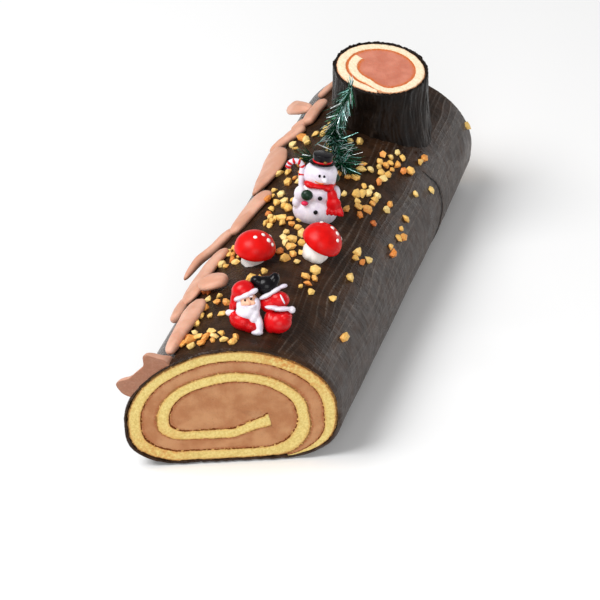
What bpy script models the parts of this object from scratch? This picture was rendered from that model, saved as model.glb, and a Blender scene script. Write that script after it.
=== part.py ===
"""Yule log cake: a rolled sponge with cream, iced in dark chocolate, with a cut stump on top.

Frame: metres, +Z up. The origin is the middle of the flat underside. The roll lies along Y, with
its slanted cut face towards -Y, and +X to the right of someone who looks at that face. Angles
round the roll are degrees about its middle level: 0 is the right side, 90 the top, 180 the left.
"""
import math
from typing import NamedTuple

import bmesh
import bpy
from mathutils import Matrix, Vector

MM = 0.001

# ---- driving dimensions -------------------------------------------------------------------------
HALF_WIDTH = 46.0 * MM
HEIGHT = 65.1 * MM
MIDDLE_LEVEL = 26.7 * MM        # height of the widest level
BELLY_DROP = 1.5 * MM           # how far the round underside would pass below the board
TOP_FULLNESS = 1.92             # exponents of the section's upper and lower half
BELLY_FULLNESS = 3.15
HALF_LENGTH = 126.4 * MM        # along the roll's middle line
FRONT_SLANT = math.radians(22.3)
BACK_SLANT = math.radians(4.8)

ICING = 2.1 * MM
GAP = 0.3 * MM                  # clearance between touching pieces
SPONGE = 5.6 * MM
PITCH = 11.5 * MM               # from one turn of the sheet to the next
SEAM_ANGLE = -47.0              # where the sheet's outer end lies
INNER_END_OUTER = (-6.4 * MM, 5.7 * MM)     # how far the free inner end leaves the turn below
INNER_END_INNER = (1.4 * MM, 7.2 * MM)

STUMP_CENTRE = Vector((6.7 * MM, 88.9 * MM, 0.0))
STUMP_RADIUS = 24.3 * MM
STUMP_TOP = 90.0 * MM
STUMP_ROOT = 40.0 * MM          # how deep the stump's core reaches before it is cut to the roll
STUMP_FALL_X = -math.tan(math.radians(4.5))
STUMP_RISE_Y = math.tan(math.radians(2.0))
STUMP_ICING = 1.5 * MM
STUMP_SPONGE = 5.0 * MM
STUMP_PITCH = 6.3 * MM
STUMP_SEAM = -79.0

FIGURE_TURN = math.radians(17.7)   # the figures look to the front right
SECTION_STEPS = 60

CAKE = bpy.data.collections.new("yule_log_cake")
CUTTERS = bpy.data.collections.new("cutters")


# ---- scene and materials ------------------------------------------------------------------------
def clear_scene():
    """Empties the scene and links the two collections."""
    for obj in list(bpy.data.objects):
        bpy.data.objects.remove(obj)
    bpy.context.scene.collection.children.link(CAKE)
    bpy.context.scene.collection.children.link(CUTTERS)


def finish(name, colour, roughness, metallic=0.0):
    """A Principled material of one colour."""
    material = bpy.data.materials.new(name)
    material.use_nodes = True
    shader = material.node_tree.nodes["Principled BSDF"]
    shader.inputs["Base Color"].default_value = (*colour, 1.0)
    shader.inputs["Roughness"].default_value = roughness
    shader.inputs["Metallic"].default_value = metallic
    return material


def adopt(mesh, name, material=None, collection=CAKE):
    """Links a mesh as an object, as a part or as a cutter."""
    obj = bpy.data.objects.new(name, mesh)
    collection.objects.link(obj)
    if material:
        mesh.materials.clear()
        mesh.materials.append(material)
    if collection is CUTTERS:
        obj.hide_render = True
        obj.display_type = "WIRE"
    return obj


def evaluated_mesh(obj):
    """A copy of the object's mesh as its modifiers leave it."""
    bpy.context.view_layer.update()
    graph = bpy.context.evaluated_depsgraph_get()
    return bpy.data.meshes.new_from_object(obj.evaluated_get(graph))


def boolean(obj, other, operation):
    """Applies one exact Boolean between two objects of the same frame."""
    modifier = obj.modifiers.new("boolean", "BOOLEAN")
    modifier.operation = operation
    modifier.solver = "EXACT"
    modifier.object = other
    mesh = evaluated_mesh(obj)
    obj.modifiers.clear()
    obj.data = mesh
    return obj


# ---- the roll's section -------------------------------------------------------------------------
def section_point(angle, depth=0.0):
    """(x, z) at an angle in degrees round the roll, at a depth inside the icing's face."""
    c, s = math.cos(math.radians(angle)), math.sin(math.radians(angle))
    tall = (HEIGHT - MIDDLE_LEVEL if s >= 0 else MIDDLE_LEVEL + BELLY_DROP) - depth
    fullness = TOP_FULLNESS if s >= 0 else BELLY_FULLNESS
    radius = (abs(c / (HALF_WIDTH - depth)) ** fullness + abs(s / tall) ** fullness) ** (-1 / fullness)
    return Vector((radius * c, max(MIDDLE_LEVEL + radius * s, depth)))


def surface_frame(angle, y):
    """The point on the icing at an angle and a place along the roll, and the way out of it."""
    here, ahead = section_point(angle), section_point(angle + 0.5)
    along = (ahead - here).normalized()
    return Vector((here.x, y, here.y)), Vector((along.y, 0.0, -along.x))


def smooth(t):
    """0 below 0, 1 above 1, and a smooth rise between."""
    t = min(max(t, 0.0), 1.0)
    return t * t * (3 - 2 * t)


class Spiral(NamedTuple):
    """A rolled sheet: where it starts, which way it winds, and how its turns lie on each other."""

    seam: float
    sense: int
    total: float
    first_depth: float
    sheet: float
    pitch: float
    step_from: float
    step_over: float
    tip_from: float
    tip_outer: tuple
    tip_inner: tuple

    def stepped(self, turn):
        """How far the sheet has stepped inwards, 0 to 1."""
        return smooth((turn - self.step_from) / self.step_over)

    def face(self, point, turn, side, further=0.0, angle=None):
        """A point of the sheet's outer face (side 0) or inner face (side 1), or further in.

        The sheet thins towards its outer end, and its free inner end bends away from the turn
        below it.
        """
        depth = self.first_depth + self.pitch * self.stepped(turn) + further
        depth += side * self.sheet * self.stepped(turn + 360)
        bend = max((turn - self.tip_from) / (self.total - self.tip_from), 0.0) ** 1.3
        place = self.seam + self.sense * turn if angle is None else angle
        return point(place, depth) + Vector(self.tip_outer).lerp(Vector(self.tip_inner), side) * bend


LOG_SPIRAL = Spiral(SEAM_ANGLE, 1, 737.0, ICING + GAP, SPONGE, PITCH, 350.0, 65.0, 677.0,
                    INNER_END_OUTER, INNER_END_INNER)
STUMP_SPIRAL = Spiral(STUMP_SEAM, -1, 484.0, STUMP_ICING + GAP, STUMP_SPONGE, STUMP_PITCH, 338.0, 48.0,
                      440.0, (0.0, 0.0), (0.0, 0.0))


def sheet_outline(spiral, point, steps):
    """The rolled sheet's outline: out along its outer face and back along its inner face."""
    turns = [spiral.total * k / steps for k in range(steps + 1)]
    there = [spiral.face(point, turn, 0) for turn in turns]
    return there + [spiral.face(point, turn, 1) for turn in reversed(turns)]


def cream_outline(spiral, point, steps, begin, end_clearance):
    """The cream between the turns and in the middle, clear of the sheet all the way round."""
    total = spiral.total
    turns = [begin + (total + end_clearance - begin) * k / steps for k in range(steps + 1)]
    there = [spiral.face(point, turn, 1, GAP) for turn in turns if turn < total]
    edge = spiral.seam + spiral.sense * (total + end_clearance)
    round_end = [spiral.face(point, total, side, (2 * side - 1) * GAP, edge) for side in (1, 0)]
    back = [spiral.face(point, turn, 0, -GAP) for turn in reversed(turns) if begin + 360 < turn < total]
    return there + round_end + back + [spiral.face(point, begin + 360, 0, -GAP)]


# ---- solids -------------------------------------------------------------------------------------
def prism(name, outline, length, material=None, collection=CAKE):
    """A flat outline in XY, given a thickness along Z and centred on it, as a welded mesh."""
    curve = bpy.data.curves.new(name, "CURVE")
    curve.dimensions = "2D"
    curve.fill_mode = "BOTH"
    curve.extrude = length / 2
    spline = curve.splines.new("POLY")
    spline.points.add(len(outline) - 1)
    for spot, place in zip(spline.points, outline):
        spot.co = (place.x, place.y, 0.0, 1.0)
    spline.use_cyclic_u = True
    guide = bpy.data.objects.new(name + "_outline", curve)
    bpy.context.scene.collection.objects.link(guide)
    mesh = evaluated_mesh(guide)
    bpy.data.objects.remove(guide)
    body = bmesh.new()
    body.from_mesh(mesh)
    bmesh.ops.remove_doubles(body, verts=body.verts, dist=0.00001)
    bmesh.ops.recalc_face_normals(body, faces=body.faces)
    body.to_mesh(mesh)
    body.free()
    return adopt(mesh, name, material, collection)


def lay_along_roll(obj, front_extra=0.0, back_extra=0.0):
    """Turns an upright prism to lie along Y, and slants its ends as the cake is cut."""
    obj.data.transform(Matrix.Rotation(math.radians(90), 4, "X"))
    for vertex in obj.data.vertices:
        if vertex.co.y < 0:
            vertex.co.y = -HALF_LENGTH + vertex.co.x * math.tan(FRONT_SLANT) - front_extra
        else:
            vertex.co.y = HALF_LENGTH + vertex.co.x * math.tan(BACK_SLANT) + back_extra
    return obj


def section_prism(name, depth, extra, collection=CUTTERS):
    """The whole roll at some depth inside the icing's face, as one solid."""
    outline = [section_point(360.0 * k / SECTION_STEPS, depth) for k in range(SECTION_STEPS)]
    return lay_along_roll(prism(name, outline, 1.0, None, collection), extra, extra)


def turned(name, profile, steps, material=None, collection=CAKE):
    """A turned solid. The profile runs down its outer side, top to bottom."""
    mesh = bpy.data.meshes.new(name)
    body = bmesh.new()
    spots = [body.verts.new((radius, 0.0, height)) for radius, height in profile]
    for above, below in zip(spots, spots[1:]):
        body.edges.new((above, below))
    body.to_mesh(mesh)
    body.free()
    obj = adopt(mesh, name, material, collection)
    screw = obj.modifiers.new("turn", "SCREW")
    screw.steps = screw.render_steps = steps
    screw.use_merge_vertices = True
    screw.merge_threshold = 0.00005
    obj.data = evaluated_mesh(obj)
    obj.modifiers.clear()
    return obj


def ellipsoid(centre, radii, tilt=0.0, segments=12, rings=7):
    """An ellipsoid cutter or lump, tilted about the Y axis by some degrees."""
    body = bmesh.new()
    bmesh.ops.create_uvsphere(body, u_segments=segments, v_segments=rings, radius=1.0)
    place = Matrix.Translation(Vector(centre) * MM) @ Matrix.Rotation(math.radians(tilt), 4, "Y")
    bmesh.ops.transform(body, matrix=place @ Matrix.Diagonal((*(Vector(radii) * MM), 1.0)),
                        verts=body.verts)
    mesh = bpy.data.meshes.new("lump")
    body.to_mesh(mesh)
    body.free()
    return adopt(mesh, "lump", None, CUTTERS)


def drum(centre, radius, height):
    """A short upright cylinder lump, in the same units as the ellipsoids."""
    body = bmesh.new()
    bmesh.ops.create_cone(body, cap_ends=True, segments=16, radius1=radius * MM,
                          radius2=radius * MM, depth=height * MM,
                          matrix=Matrix.Translation(Vector(centre) * MM))
    mesh = bpy.data.meshes.new("drum")
    body.to_mesh(mesh)
    body.free()
    return adopt(mesh, "drum", None, CUTTERS)


def tube(points, radius, name="tube"):
    """A round bar through points in millimetres, with closed ends."""
    curve = bpy.data.curves.new(name, "CURVE")
    curve.dimensions = "3D"
    curve.bevel_depth = radius * MM
    curve.bevel_resolution = 1
    curve.use_fill_caps = True
    spline = curve.splines.new("POLY")
    spline.points.add(len(points) - 1)
    for spot, place in zip(spline.points, points):
        spot.co = (*(Vector(place) * MM), 1.0)
    guide = bpy.data.objects.new(name + "_path", curve)
    bpy.context.scene.collection.objects.link(guide)
    mesh = evaluated_mesh(guide)
    bpy.data.objects.remove(guide)
    body = bmesh.new()
    body.from_mesh(mesh)
    bmesh.ops.remove_doubles(body, verts=body.verts, dist=0.00001)
    body.to_mesh(mesh)
    body.free()
    return adopt(mesh, name, None, CUTTERS)


def merge_lumps(name, lumps, material):
    """One solid from overlapping lumps."""
    whole = lumps[0]
    for lump in lumps[1:]:
        boolean(whole, lump, "UNION")
    obj = adopt(whole.data, name, material)
    for lump in lumps:
        bpy.data.objects.remove(lump)
    return obj


def stand(obj, base, lean=0.0, roll=0.0, turn=FIGURE_TURN):
    """Places a figure: leaned back, rolled to its right, turned, and moved to its base."""
    matrix = (Matrix.Translation(Vector(base) * MM) @ Matrix.Rotation(turn, 4, "Z")
              @ Matrix.Rotation(math.radians(-lean), 4, "X")
              @ Matrix.Rotation(math.radians(roll), 4, "Y"))
    obj.data.transform(matrix)
    return obj


# ---- buttercream strokes ------------------------------------------------------------------------
class Stroke(NamedTuple):
    """A piped stroke on the icing: its route as (angle, y, lift), and its widths along it."""

    route: tuple
    widths: tuple
    thickness: float


STROKES = (
    Stroke(((131.5, -130, 0), (132, -110, 0), (131.5, -89, 0)), (6.0, 7.4, 10.2, 10.8), 5.0),
    Stroke(((150, -94, 0), (152, -86, 0), (154, -76, 0)), (6.6, 8.6, 8.0), 4.5),
    Stroke(((147, -84, 0.2), (146, -66, 0.3), (143, -52, 0.2), (137, -42, 0)), (12.5, 12.5, 9.5, 7.0), 4.6),
    Stroke(((137, -75, 1.8), (128, -76, 1.6), (118, -76, 0.4)), (9.0, 12.0, 8.0), 4.6),
    Stroke(((165, -52, 5.0), (161, -40, 4.0), (154, -31, 1.2), (144, -20, 0)),
           (3.8, 4.8, 6.8, 10.5), 4.3),
    Stroke(((141, -26, 0), (137, -8, 0), (130, 7, 0)), (9.0, 12.0, 10.5), 4.5),
    Stroke(((141, 7, 1.2), (141, 24, 0.2), (143, 42, 0.2), (152, 58, 1.0)),
           (5.0, 13.0, 16.5, 10.0), 5.0),
    Stroke(((158, 63, 1.2), (148, 66, 0.4), (139, 69, 0), (132, 72, 0)), (6.5, 8.5, 8.5, 6.5), 4.5),
    Stroke(((146, 76, 0), (139, 78, 0), (132, 79, 0)), (5.0, 6.4, 6.0), 3.8),
    Stroke(((131, 75, 0.2), (131, 86, 0.4), (128, 97, 0.2)), (7.4, 8.4, 7.6), 4.3),
    Stroke(((166, 113, 5.6), (158, 107, 4.0), (148, 99, 2.0), (137, 92, 0.6)),
           (5.0, 7.4, 7.4, 6.4), 4.3),
    Stroke(((138, 107, 0), (134, 112, 0), (129, 121, 0)), (3.8, 4.4, 3.6), 3.0),
)


ON_TOP = (4, 6, 7, 10)      # the strokes that keep their whole shape where others meet them


def along(values, t):
    """The value at t, 0 to 1, on a smooth curve through evenly spaced values."""
    place = min(max(t, 0.0), 1.0) * (len(values) - 1)
    k = min(int(place), len(values) - 2)
    before, after = values[max(k - 1, 0)], values[min(k + 2, len(values) - 1)]
    a, b, u = values[k], values[k + 1], place - k
    return a + 0.5 * u * (b - before + u * (2 * before - 5 * a + 4 * b - after
                                            + u * (3 * (a - b) + after - before)))


def stroke_solid(name, stroke, material, room=0.0, collection=CAKE):
    """A round-ended bar laid along its route on the icing, flat below and crowned above.

    Given some room it is that much wider, higher and lower, to cut the strokes that meet it.
    """
    body = bmesh.new()
    bmesh.ops.create_uvsphere(body, u_segments=10, v_segments=9, radius=1.0)
    angles, places, lifts = (tuple(spot[i] for spot in stroke.route) for i in range(3))
    for vertex in body.verts:
        across, up, z = vertex.co
        round_end = math.sqrt(max(1 - abs(z) ** 5, 0.0))
        ring = math.hypot(across, up) or 1.0
        t = (z + 1) / 2
        half_width = (along(stroke.widths, t) * MM / 2 + room) * round_end
        side = across / ring * half_width
        rise = GAP - room + along(lifts, t) * MM + (stroke.thickness * MM + 2 * room) * (
            0.5 + 0.5 * up / ring * round_end if ring > 0.01 else 0.5)
        angle, y = along(angles, t), along(places, t) * MM
        reach = (section_point(angle + 1) - section_point(angle - 1)).length / 2
        run = (along(angles, t + 0.05) - along(angles, t - 0.05)) * reach
        rush = (along(places, t + 0.05) - along(places, t - 0.05)) * MM
        pace = math.hypot(run, rush)
        point, out = surface_frame(angle + side * rush / pace / reach, y - side * run / pace)
        vertex.co = point + out * rise
    body.normal_update()
    bmesh.ops.recalc_face_normals(body, faces=body.faces)
    mesh = bpy.data.meshes.new(name)
    body.to_mesh(mesh)
    body.free()
    return adopt(mesh, name, material, collection)


def bump(angle, middle, spread):
    """A smooth hump of height 1."""
    return math.exp(-((angle - middle) / spread) ** 2)


def cut_stroke(name, material):
    """The knobbed stroke at the front edge, which was cut through together with the cake."""
    low, high, steps = 130.0, 162.0, 18
    inner, outer = [], []
    for k in range(steps + 1):
        t = k / steps
        angle = low + (high - low) * t
        ends = math.sqrt(max(1 - abs(2 * t - 1) ** 6, 0.0))
        rise = (1.6 + ends * (5.2 + 4.2 * bump(angle, 137, 3.5) + 2.4 * bump(angle, 156, 4))) * MM
        point, out = surface_frame(angle, 0.0)
        lower, upper = point + out * GAP, point + out * rise
        inner.append(Vector((lower.x, lower.z)))
        outer.append(Vector((upper.x, upper.z)))
    obj = prism(name, inner + outer[::-1], 1.0, material)
    obj.data.transform(Matrix.Rotation(math.radians(90), 4, "X"))
    depth = 5.5 * MM
    for vertex in obj.data.vertices:
        face = -HALF_LENGTH + vertex.co.x * math.tan(FRONT_SLANT)
        vertex.co.y = face if vertex.co.y < 0 else face + depth
    return obj


# ---- the cake -----------------------------------------------------------------------------------
def stump_plane(x, y):
    """Height of the stump's cut top, which falls a little to the right."""
    return STUMP_TOP + (x - STUMP_CENTRE.x) * STUMP_FALL_X + (y - STUMP_CENTRE.y) * STUMP_RISE_Y


def set_stump_top(obj, extra=0.0):
    """Moves an upright solid onto the stump's centre and slants its top."""
    top = max(vertex.co.z for vertex in obj.data.vertices)
    for vertex in obj.data.vertices:
        is_top = vertex.co.z > top - 1e-6
        vertex.co += STUMP_CENTRE
        if is_top:
            vertex.co.z = stump_plane(vertex.co.x, vertex.co.y) + extra
    return obj


def stump_point(angle, depth):
    """(x, y) from the stump's centre at an angle, at a depth inside its icing's face."""
    turn = math.radians(angle)
    return Vector((math.cos(turn), math.sin(turn))) * (STUMP_RADIUS - depth)


def build_roll(sponge, cream):
    """The sheet of sponge and the cream rolled up in it, end to end."""
    lay_along_roll(prism("log_sponge", sheet_outline(LOG_SPIRAL, section_point, 104), 1.0, sponge))
    outline = cream_outline(LOG_SPIRAL, section_point, 104, 10.0, 4.0)
    lay_along_roll(prism("log_cream", outline, 1.0, cream))


def build_stump(sponge, cream, bed):
    """The stump's own roll, standing on the sponge of the log."""
    height = STUMP_TOP - STUMP_ROOT
    outlines = (("stump_sponge", sheet_outline(STUMP_SPIRAL, stump_point, 64), sponge),
                ("stump_cream", cream_outline(STUMP_SPIRAL, stump_point, 64, 14.0, 4.0), cream))
    for name, outline, material in outlines:
        core = prism(name, outline, height, material)
        core.data.transform(Matrix.Translation((0, 0, STUMP_ROOT + height / 2)))
        boolean(set_stump_top(core), bed, "DIFFERENCE")


def build_icing(chocolate, bed, skin):
    """The skin of chocolate over the log, and the stump's bark, which flares where it meets it."""
    icing = adopt(section_prism("log_skin", 0.0, 0.0).data, "chocolate_coat", chocolate)
    flare = ((0.0, STUMP_TOP), (STUMP_RADIUS, STUMP_TOP), (STUMP_RADIUS, 72 * MM),
             (STUMP_RADIUS + 0.4 * MM, 66 * MM), (STUMP_RADIUS + 1.2 * MM, 61 * MM),
             (STUMP_RADIUS + 2.2 * MM, STUMP_ROOT), (0.0, STUMP_ROOT))
    bark = set_stump_top(turned("stump_bark", flare, 40, chocolate))
    core_radius = STUMP_RADIUS - STUMP_ICING
    core = ((0.0, STUMP_TOP), (core_radius, STUMP_TOP), (core_radius, STUMP_ROOT), (0.0, STUMP_ROOT))
    hollow = set_stump_top(turned("stump_hollow", core, 40, None, CUTTERS), 5 * MM)
    for piece, inside in ((icing, bed), (bark, skin)):
        boolean(piece, inside, "DIFFERENCE")
        boolean(piece, hollow, "DIFFERENCE")


def build_strokes(buttercream):
    """The row of piped strokes along the left shoulder, front to back."""
    cut_stroke("cream_stroke_front", buttercream)
    order = sorted(enumerate(STROKES, start=1), key=lambda item: item[0] not in ON_TOP)
    laid = []
    for number, stroke in order:
        piece = stroke_solid(f"cream_stroke_{number:02d}", stroke, buttercream)
        for room in laid:
            boolean(piece, room, "DIFFERENCE")
        laid.append(stroke_solid(f"stroke_room_{number:02d}", stroke, None, GAP, CUTTERS))


def build_mushroom(number, base, roll, red, white, skin):
    """A domed cap on a short stem that widens at its foot."""
    cap_radius, cap_height, stem_height = 9.8 * MM, 8.8 * MM, 6.6 * MM
    dome = [(cap_radius * math.sin(math.radians(a)), stem_height + cap_height * math.cos(math.radians(a)))
            for a in range(0, 91, 15)]
    dome += [(cap_radius * 0.93, stem_height - 1.1 * MM), (cap_radius * 0.62, stem_height - 0.4 * MM),
             (0.0, stem_height)]
    cap = turned(f"mushroom_{number}_cap", dome, 20, red)
    top = stem_height - GAP
    foot = [(0.0, top), (4.6 * MM, top - 0.5 * MM), (4.9 * MM, top - 2.4 * MM),
            (5.4 * MM, 1.5 * MM), (5.7 * MM, -3 * MM), (0.0, -3 * MM)]
    stem = turned(f"mushroom_{number}_stem", foot, 16, white)
    for piece in (cap, stem):
        stand(piece, base, roll=roll)
        boolean(piece, skin, "DIFFERENCE")


def build_snowman(white, skin):
    """A moulded snowman with a hat, a scarf with a tail, and a striped cane in one hand."""
    hook = [(-12.0 + 3.4 * math.cos(math.radians(a)), 0.0, 25.4 + 3.0 * math.sin(math.radians(a)))
            for a in range(0, 211, 30)]
    lumps = [
        ellipsoid((-0.2, 0, 4.6), (11.2, 8.4, 8.6)),
        ellipsoid((0.4, 0, 14.2), (9.4, 7.2, 6.2)),
        ellipsoid((0.4, 0, 23.2), (7.5, 6.8, 6.4)),
        drum((0.6, 0, 28.9), 6.0, 1.2),
        drum((0.6, 0, 31.4), 4.8, 4.6),
        ellipsoid((0.4, -0.3, 18.6), (7.6, 7.2, 2.3)),
        ellipsoid((6.8, -5.6, 11.6), (3.0, 1.8, 6.6), -14),
        ellipsoid((-8.6, -3.6, 13.2), (3.0, 3.0, 3.8)),
        ellipsoid((-5.6, -6.2, 13.6), (2.8, 2.4, 2.7)),
        ellipsoid((8.6, -1.4, 14.0), (2.6, 3.0, 4.4)),
        tube([(-7.4, -3.4, 9.0), (-8.2, -1.6, 18.0), (-8.6, 0.0, 25.4)] + hook[1:], 1.4),
    ]
    figure = merge_lumps("snowman", lumps, white)
    stand(figure, (4.0, -14.8, 64.0), lean=12, roll=6)
    boolean(figure, skin, "DIFFERENCE")


def build_bearded_figure(red, skin):
    """A moulded figure in a fur-trimmed coat and cap, half lying, with a sack behind it."""
    lumps = [
        ellipsoid((-6.0, 0.6, 15.2), (5.8, 5.0, 5.8)),
        ellipsoid((-8.2, 1.4, 19.6), (5.3, 4.8, 4.4), -18),
        ellipsoid((-5.8, -1.6, 11.4), (5.6, 4.4, 4.8)),
        ellipsoid((-8.0, 0.6, 6.4), (5.9, 5.0, 4.8), 12),
        ellipsoid((-12.6, 1.0, 13.6), (1.8, 2.4, 4.6)),
        ellipsoid((-14.4, 0.6, 9.4), (1.8, 1.8, 1.8)),
        ellipsoid((0.2, 1.4, 7.4), (5.6, 5.0, 6.6)),
        ellipsoid((7.8, 1.2, 15.6), (5.6, 4.4, 5.0), 10),
        ellipsoid((8.0, 1.0, 5.8), (6.4, 5.0, 5.8), -8),
        ellipsoid((9.4, 0.2, 11.4), (6.2, 4.2, 1.6), 2),
        ellipsoid((3.0, 3.6, 22.4), (5.6, 4.6, 5.2)),
        ellipsoid((2.0, 3.4, 13.6), (6.0, 4.4, 6.0)),
    ]
    figure = merge_lumps("bearded_figure", lumps, red)
    stand(figure, (8.5, -110.6, 63.8), lean=33)
    boolean(figure, skin, "DIFFERENCE")


def build_sprig(green, skin):
    """The outer shape of a bundle of tinsel needles that leans on the stump."""
    spine = ((10.0, 27.0, 68.0), (3.0, 40.0, 69.8), (-3.5, 50.0, 73.8), (-4.6, 57.0, 82.0),
             (-2.5, 61.8, 93.0))
    girths = (2.4, 4.6, 4.8, 3.8, 1.8)
    lengthwise = tuple(tuple(spot[i] for spot in spine) for i in range(3))
    body = bmesh.new()
    bmesh.ops.create_uvsphere(body, u_segments=12, v_segments=10, radius=1.0)
    for vertex in body.verts:
        t = (vertex.co.z + 1) / 2
        centre = Vector([along(values, t) for values in lengthwise])
        ahead = Vector([along(values, t + 0.05) for values in lengthwise])
        behind = Vector([along(values, t - 0.05) for values in lengthwise])
        way = (ahead - behind).normalized()
        side = way.cross(Vector((0, 0, 1))).normalized()
        over = side.cross(way)
        round_end = math.sqrt(max(1 - abs(vertex.co.z) ** 5, 0.0))
        ring = math.hypot(vertex.co.x, vertex.co.y) or 1.0
        girth = along(girths, t) * round_end / ring
        vertex.co = (centre + side * vertex.co.x * girth + over * vertex.co.y * girth) * MM
    body.normal_update()
    bmesh.ops.recalc_face_normals(body, faces=body.faces)
    mesh = bpy.data.meshes.new("tinsel_sprig")
    body.to_mesh(mesh)
    body.free()
    boolean(adopt(mesh, "tinsel_sprig", green), skin, "DIFFERENCE")


def main():
    """Builds the whole cake."""
    clear_scene()
    sponge = finish("sponge", (0.80, 0.62, 0.22), 0.95)
    cream = finish("filling", (0.58, 0.28, 0.15), 0.75)
    chocolate = finish("chocolate", (0.035, 0.016, 0.012), 0.35)
    buttercream = finish("buttercream", (0.60, 0.29, 0.17), 0.6)
    red = finish("red_gloss", (0.72, 0.01, 0.01), 0.25)
    white = finish("white_sugar", (0.85, 0.83, 0.84), 0.4)
    green = finish("green_tinsel", (0.01, 0.11, 0.05), 0.3, 0.7)

    bed = section_prism("roll_bed", ICING, 20 * MM)
    skin = section_prism("roll_clearance", -GAP, 20 * MM)
    build_roll(sponge, cream)
    build_stump(sponge, cream, bed)
    build_icing(chocolate, bed, skin)
    build_strokes(buttercream)
    build_mushroom(1, (-13.1, -56.0, 63.2), 5.0, red, white, skin)
    build_mushroom(2, (13.2, -43.7, 65.4), 27.0, red, white, skin)
    build_snowman(white, skin)
    build_bearded_figure(red, skin)
    build_sprig(green, skin)


main()
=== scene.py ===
"""Looks of a yule log cake: the rolled sponge, its chocolate coat and what decorates it.

Metres, +Z up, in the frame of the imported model. The roll lies along Y with its slanted cut face
towards -Y, and +X is to the right of someone who looks at that face. Angles round the roll are
degrees about its middle level: 0 is the right side, 90 the top, 180 the left.
"""
import logging
import math
import random
from dataclasses import dataclass, field
from enum import Enum
from typing import Callable, Iterable, Sequence

import bmesh
import bpy
from mathutils import Matrix, Vector, noise


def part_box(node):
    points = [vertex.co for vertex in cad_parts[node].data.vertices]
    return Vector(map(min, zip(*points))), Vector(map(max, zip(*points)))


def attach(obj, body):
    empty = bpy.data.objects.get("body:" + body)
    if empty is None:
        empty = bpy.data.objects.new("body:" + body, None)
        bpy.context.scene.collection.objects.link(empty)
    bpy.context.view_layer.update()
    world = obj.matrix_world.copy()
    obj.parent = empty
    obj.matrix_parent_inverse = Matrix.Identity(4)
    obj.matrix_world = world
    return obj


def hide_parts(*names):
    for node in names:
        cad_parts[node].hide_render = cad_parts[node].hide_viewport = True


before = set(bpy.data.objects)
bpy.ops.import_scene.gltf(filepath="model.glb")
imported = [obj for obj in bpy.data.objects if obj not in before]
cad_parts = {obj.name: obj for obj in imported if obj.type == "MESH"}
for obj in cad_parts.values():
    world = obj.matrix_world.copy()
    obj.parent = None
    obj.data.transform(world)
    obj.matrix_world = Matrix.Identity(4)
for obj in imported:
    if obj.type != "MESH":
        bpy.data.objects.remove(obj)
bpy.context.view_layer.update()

MM = 0.001
FACING = math.radians(17.66)        # the figures and the camera look along this azimuth
CRACK_Y, CRACK_LEVEL = 69.0 * MM, 33.0 * MM     # where the crack down the right shoulder lies farthest back
CRACK_BEND = 22.7                   # how fast it comes forward above and below that, per metre
STUMP_ICING = 1.8 * MM
LOG = logging.getLogger("yule_log")

Place = Callable[[float, float], Vector]


class Slot(Enum):
    """The record's material slots."""

    SPONGE = "sponge"
    FILLING = "filling"
    CHOCOLATE = "chocolate"
    BUTTERCREAM = "buttercream"
    CAP = "red_cap"
    STEM = "white_stem"
    SNOWMAN = "snowman"
    FIGURE = "bearded_figure"
    TINSEL = "tinsel"


# ---- small tools --------------------------------------------------------------------------------
def smooth(t: float) -> float:
    """0 below 0, 1 above 1, and a smooth rise between."""
    t = min(max(t, 0.0), 1.0)
    return t * t * (3 - 2 * t)


def hump(distance: float, spread: float) -> float:
    """A smooth hump of height 1 that falls off over a spread."""
    return math.exp(-(distance / spread) ** 2)


def mix(a: float, b: float, t: float) -> float:
    """The value between a and b at t, 0 to 1."""
    return a + (b - a) * t


def rough(place: Vector, size: float, seed: float = 0.0) -> float:
    """Noise of about -1 to 1 whose lumps are some metres across.

    Args:
        place: Where it is read.
        size: The size of a lump.
        seed: Moves the pattern to another part of the noise.

    Returns:
        The noise there.
    """
    return noise.noise(place / size + Vector((seed * 13.7, seed * 7.3, seed * 3.1)))


def along(values: Sequence[float], t: float) -> float:
    """The value at t, 0 to 1, on a smooth curve through evenly spaced values."""
    place = min(max(t, 0.0), 1.0) * (len(values) - 1)
    k = min(int(place), len(values) - 2)
    before, after = values[max(k - 1, 0)], values[min(k + 2, len(values) - 1)]
    a, b, u = values[k], values[k + 1], place - k
    return a + 0.5 * u * (b - before + u * (2 * before - 5 * a + 4 * b - after
                                            + u * (3 * (a - b) + after - before)))


def around(v: float, counts: Sequence[int]) -> tuple[int, float, float]:
    """Where a fraction of the way round a four-sided strip falls.

    Args:
        v: 0 to 1, once round the strip.
        counts: How many rows each side has.

    Returns:
        The side's number, how far up the strip it is, and how far in.
    """
    place = v * sum(counts)
    side, t = len(counts) - 1, 1.0
    for number, count in enumerate(counts):
        if place <= count + 1e-6:
            side, t = number, min(place / count, 1.0)
            break
        place -= count
    return side, (t, 1.0, 1 - t, 0.0)[side], (0.0, t, 1.0, 1 - t)[side]


def curve_at(points: Sequence[Vector], t: float) -> Vector:
    """The point at t, 0 to 1, on a smooth curve through evenly spaced points."""
    return Vector([along(values, t) for values in zip(*points)])


def curve_step(points: Sequence[Vector], start: float, stop: float) -> Vector:
    """The straight step between two places on that curve."""
    return Vector([along(values, stop) - along(values, start) for values in zip(*points)])


def polar(angle: float) -> Vector:
    """The flat way at some degrees round."""
    turn = math.radians(angle)
    return Vector((math.cos(turn), math.sin(turn), 0.0))


def tone(red: int, green: int, blue: int) -> tuple[float, float, float, float]:
    """A display colour of 0 to 255 as the linear colour that a shader takes."""
    linear = [((c / 255 + 0.055) / 1.055) ** 2.4 if c > 10 else c / 3295 for c in (red, green, blue)]
    return (*linear, 1.0)


def darker(colour: Sequence[float], share: float) -> tuple[float, float, float, float]:
    """A colour with its light cut to a share."""
    return (*(part * share for part in colour[:3]), 1.0)


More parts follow.
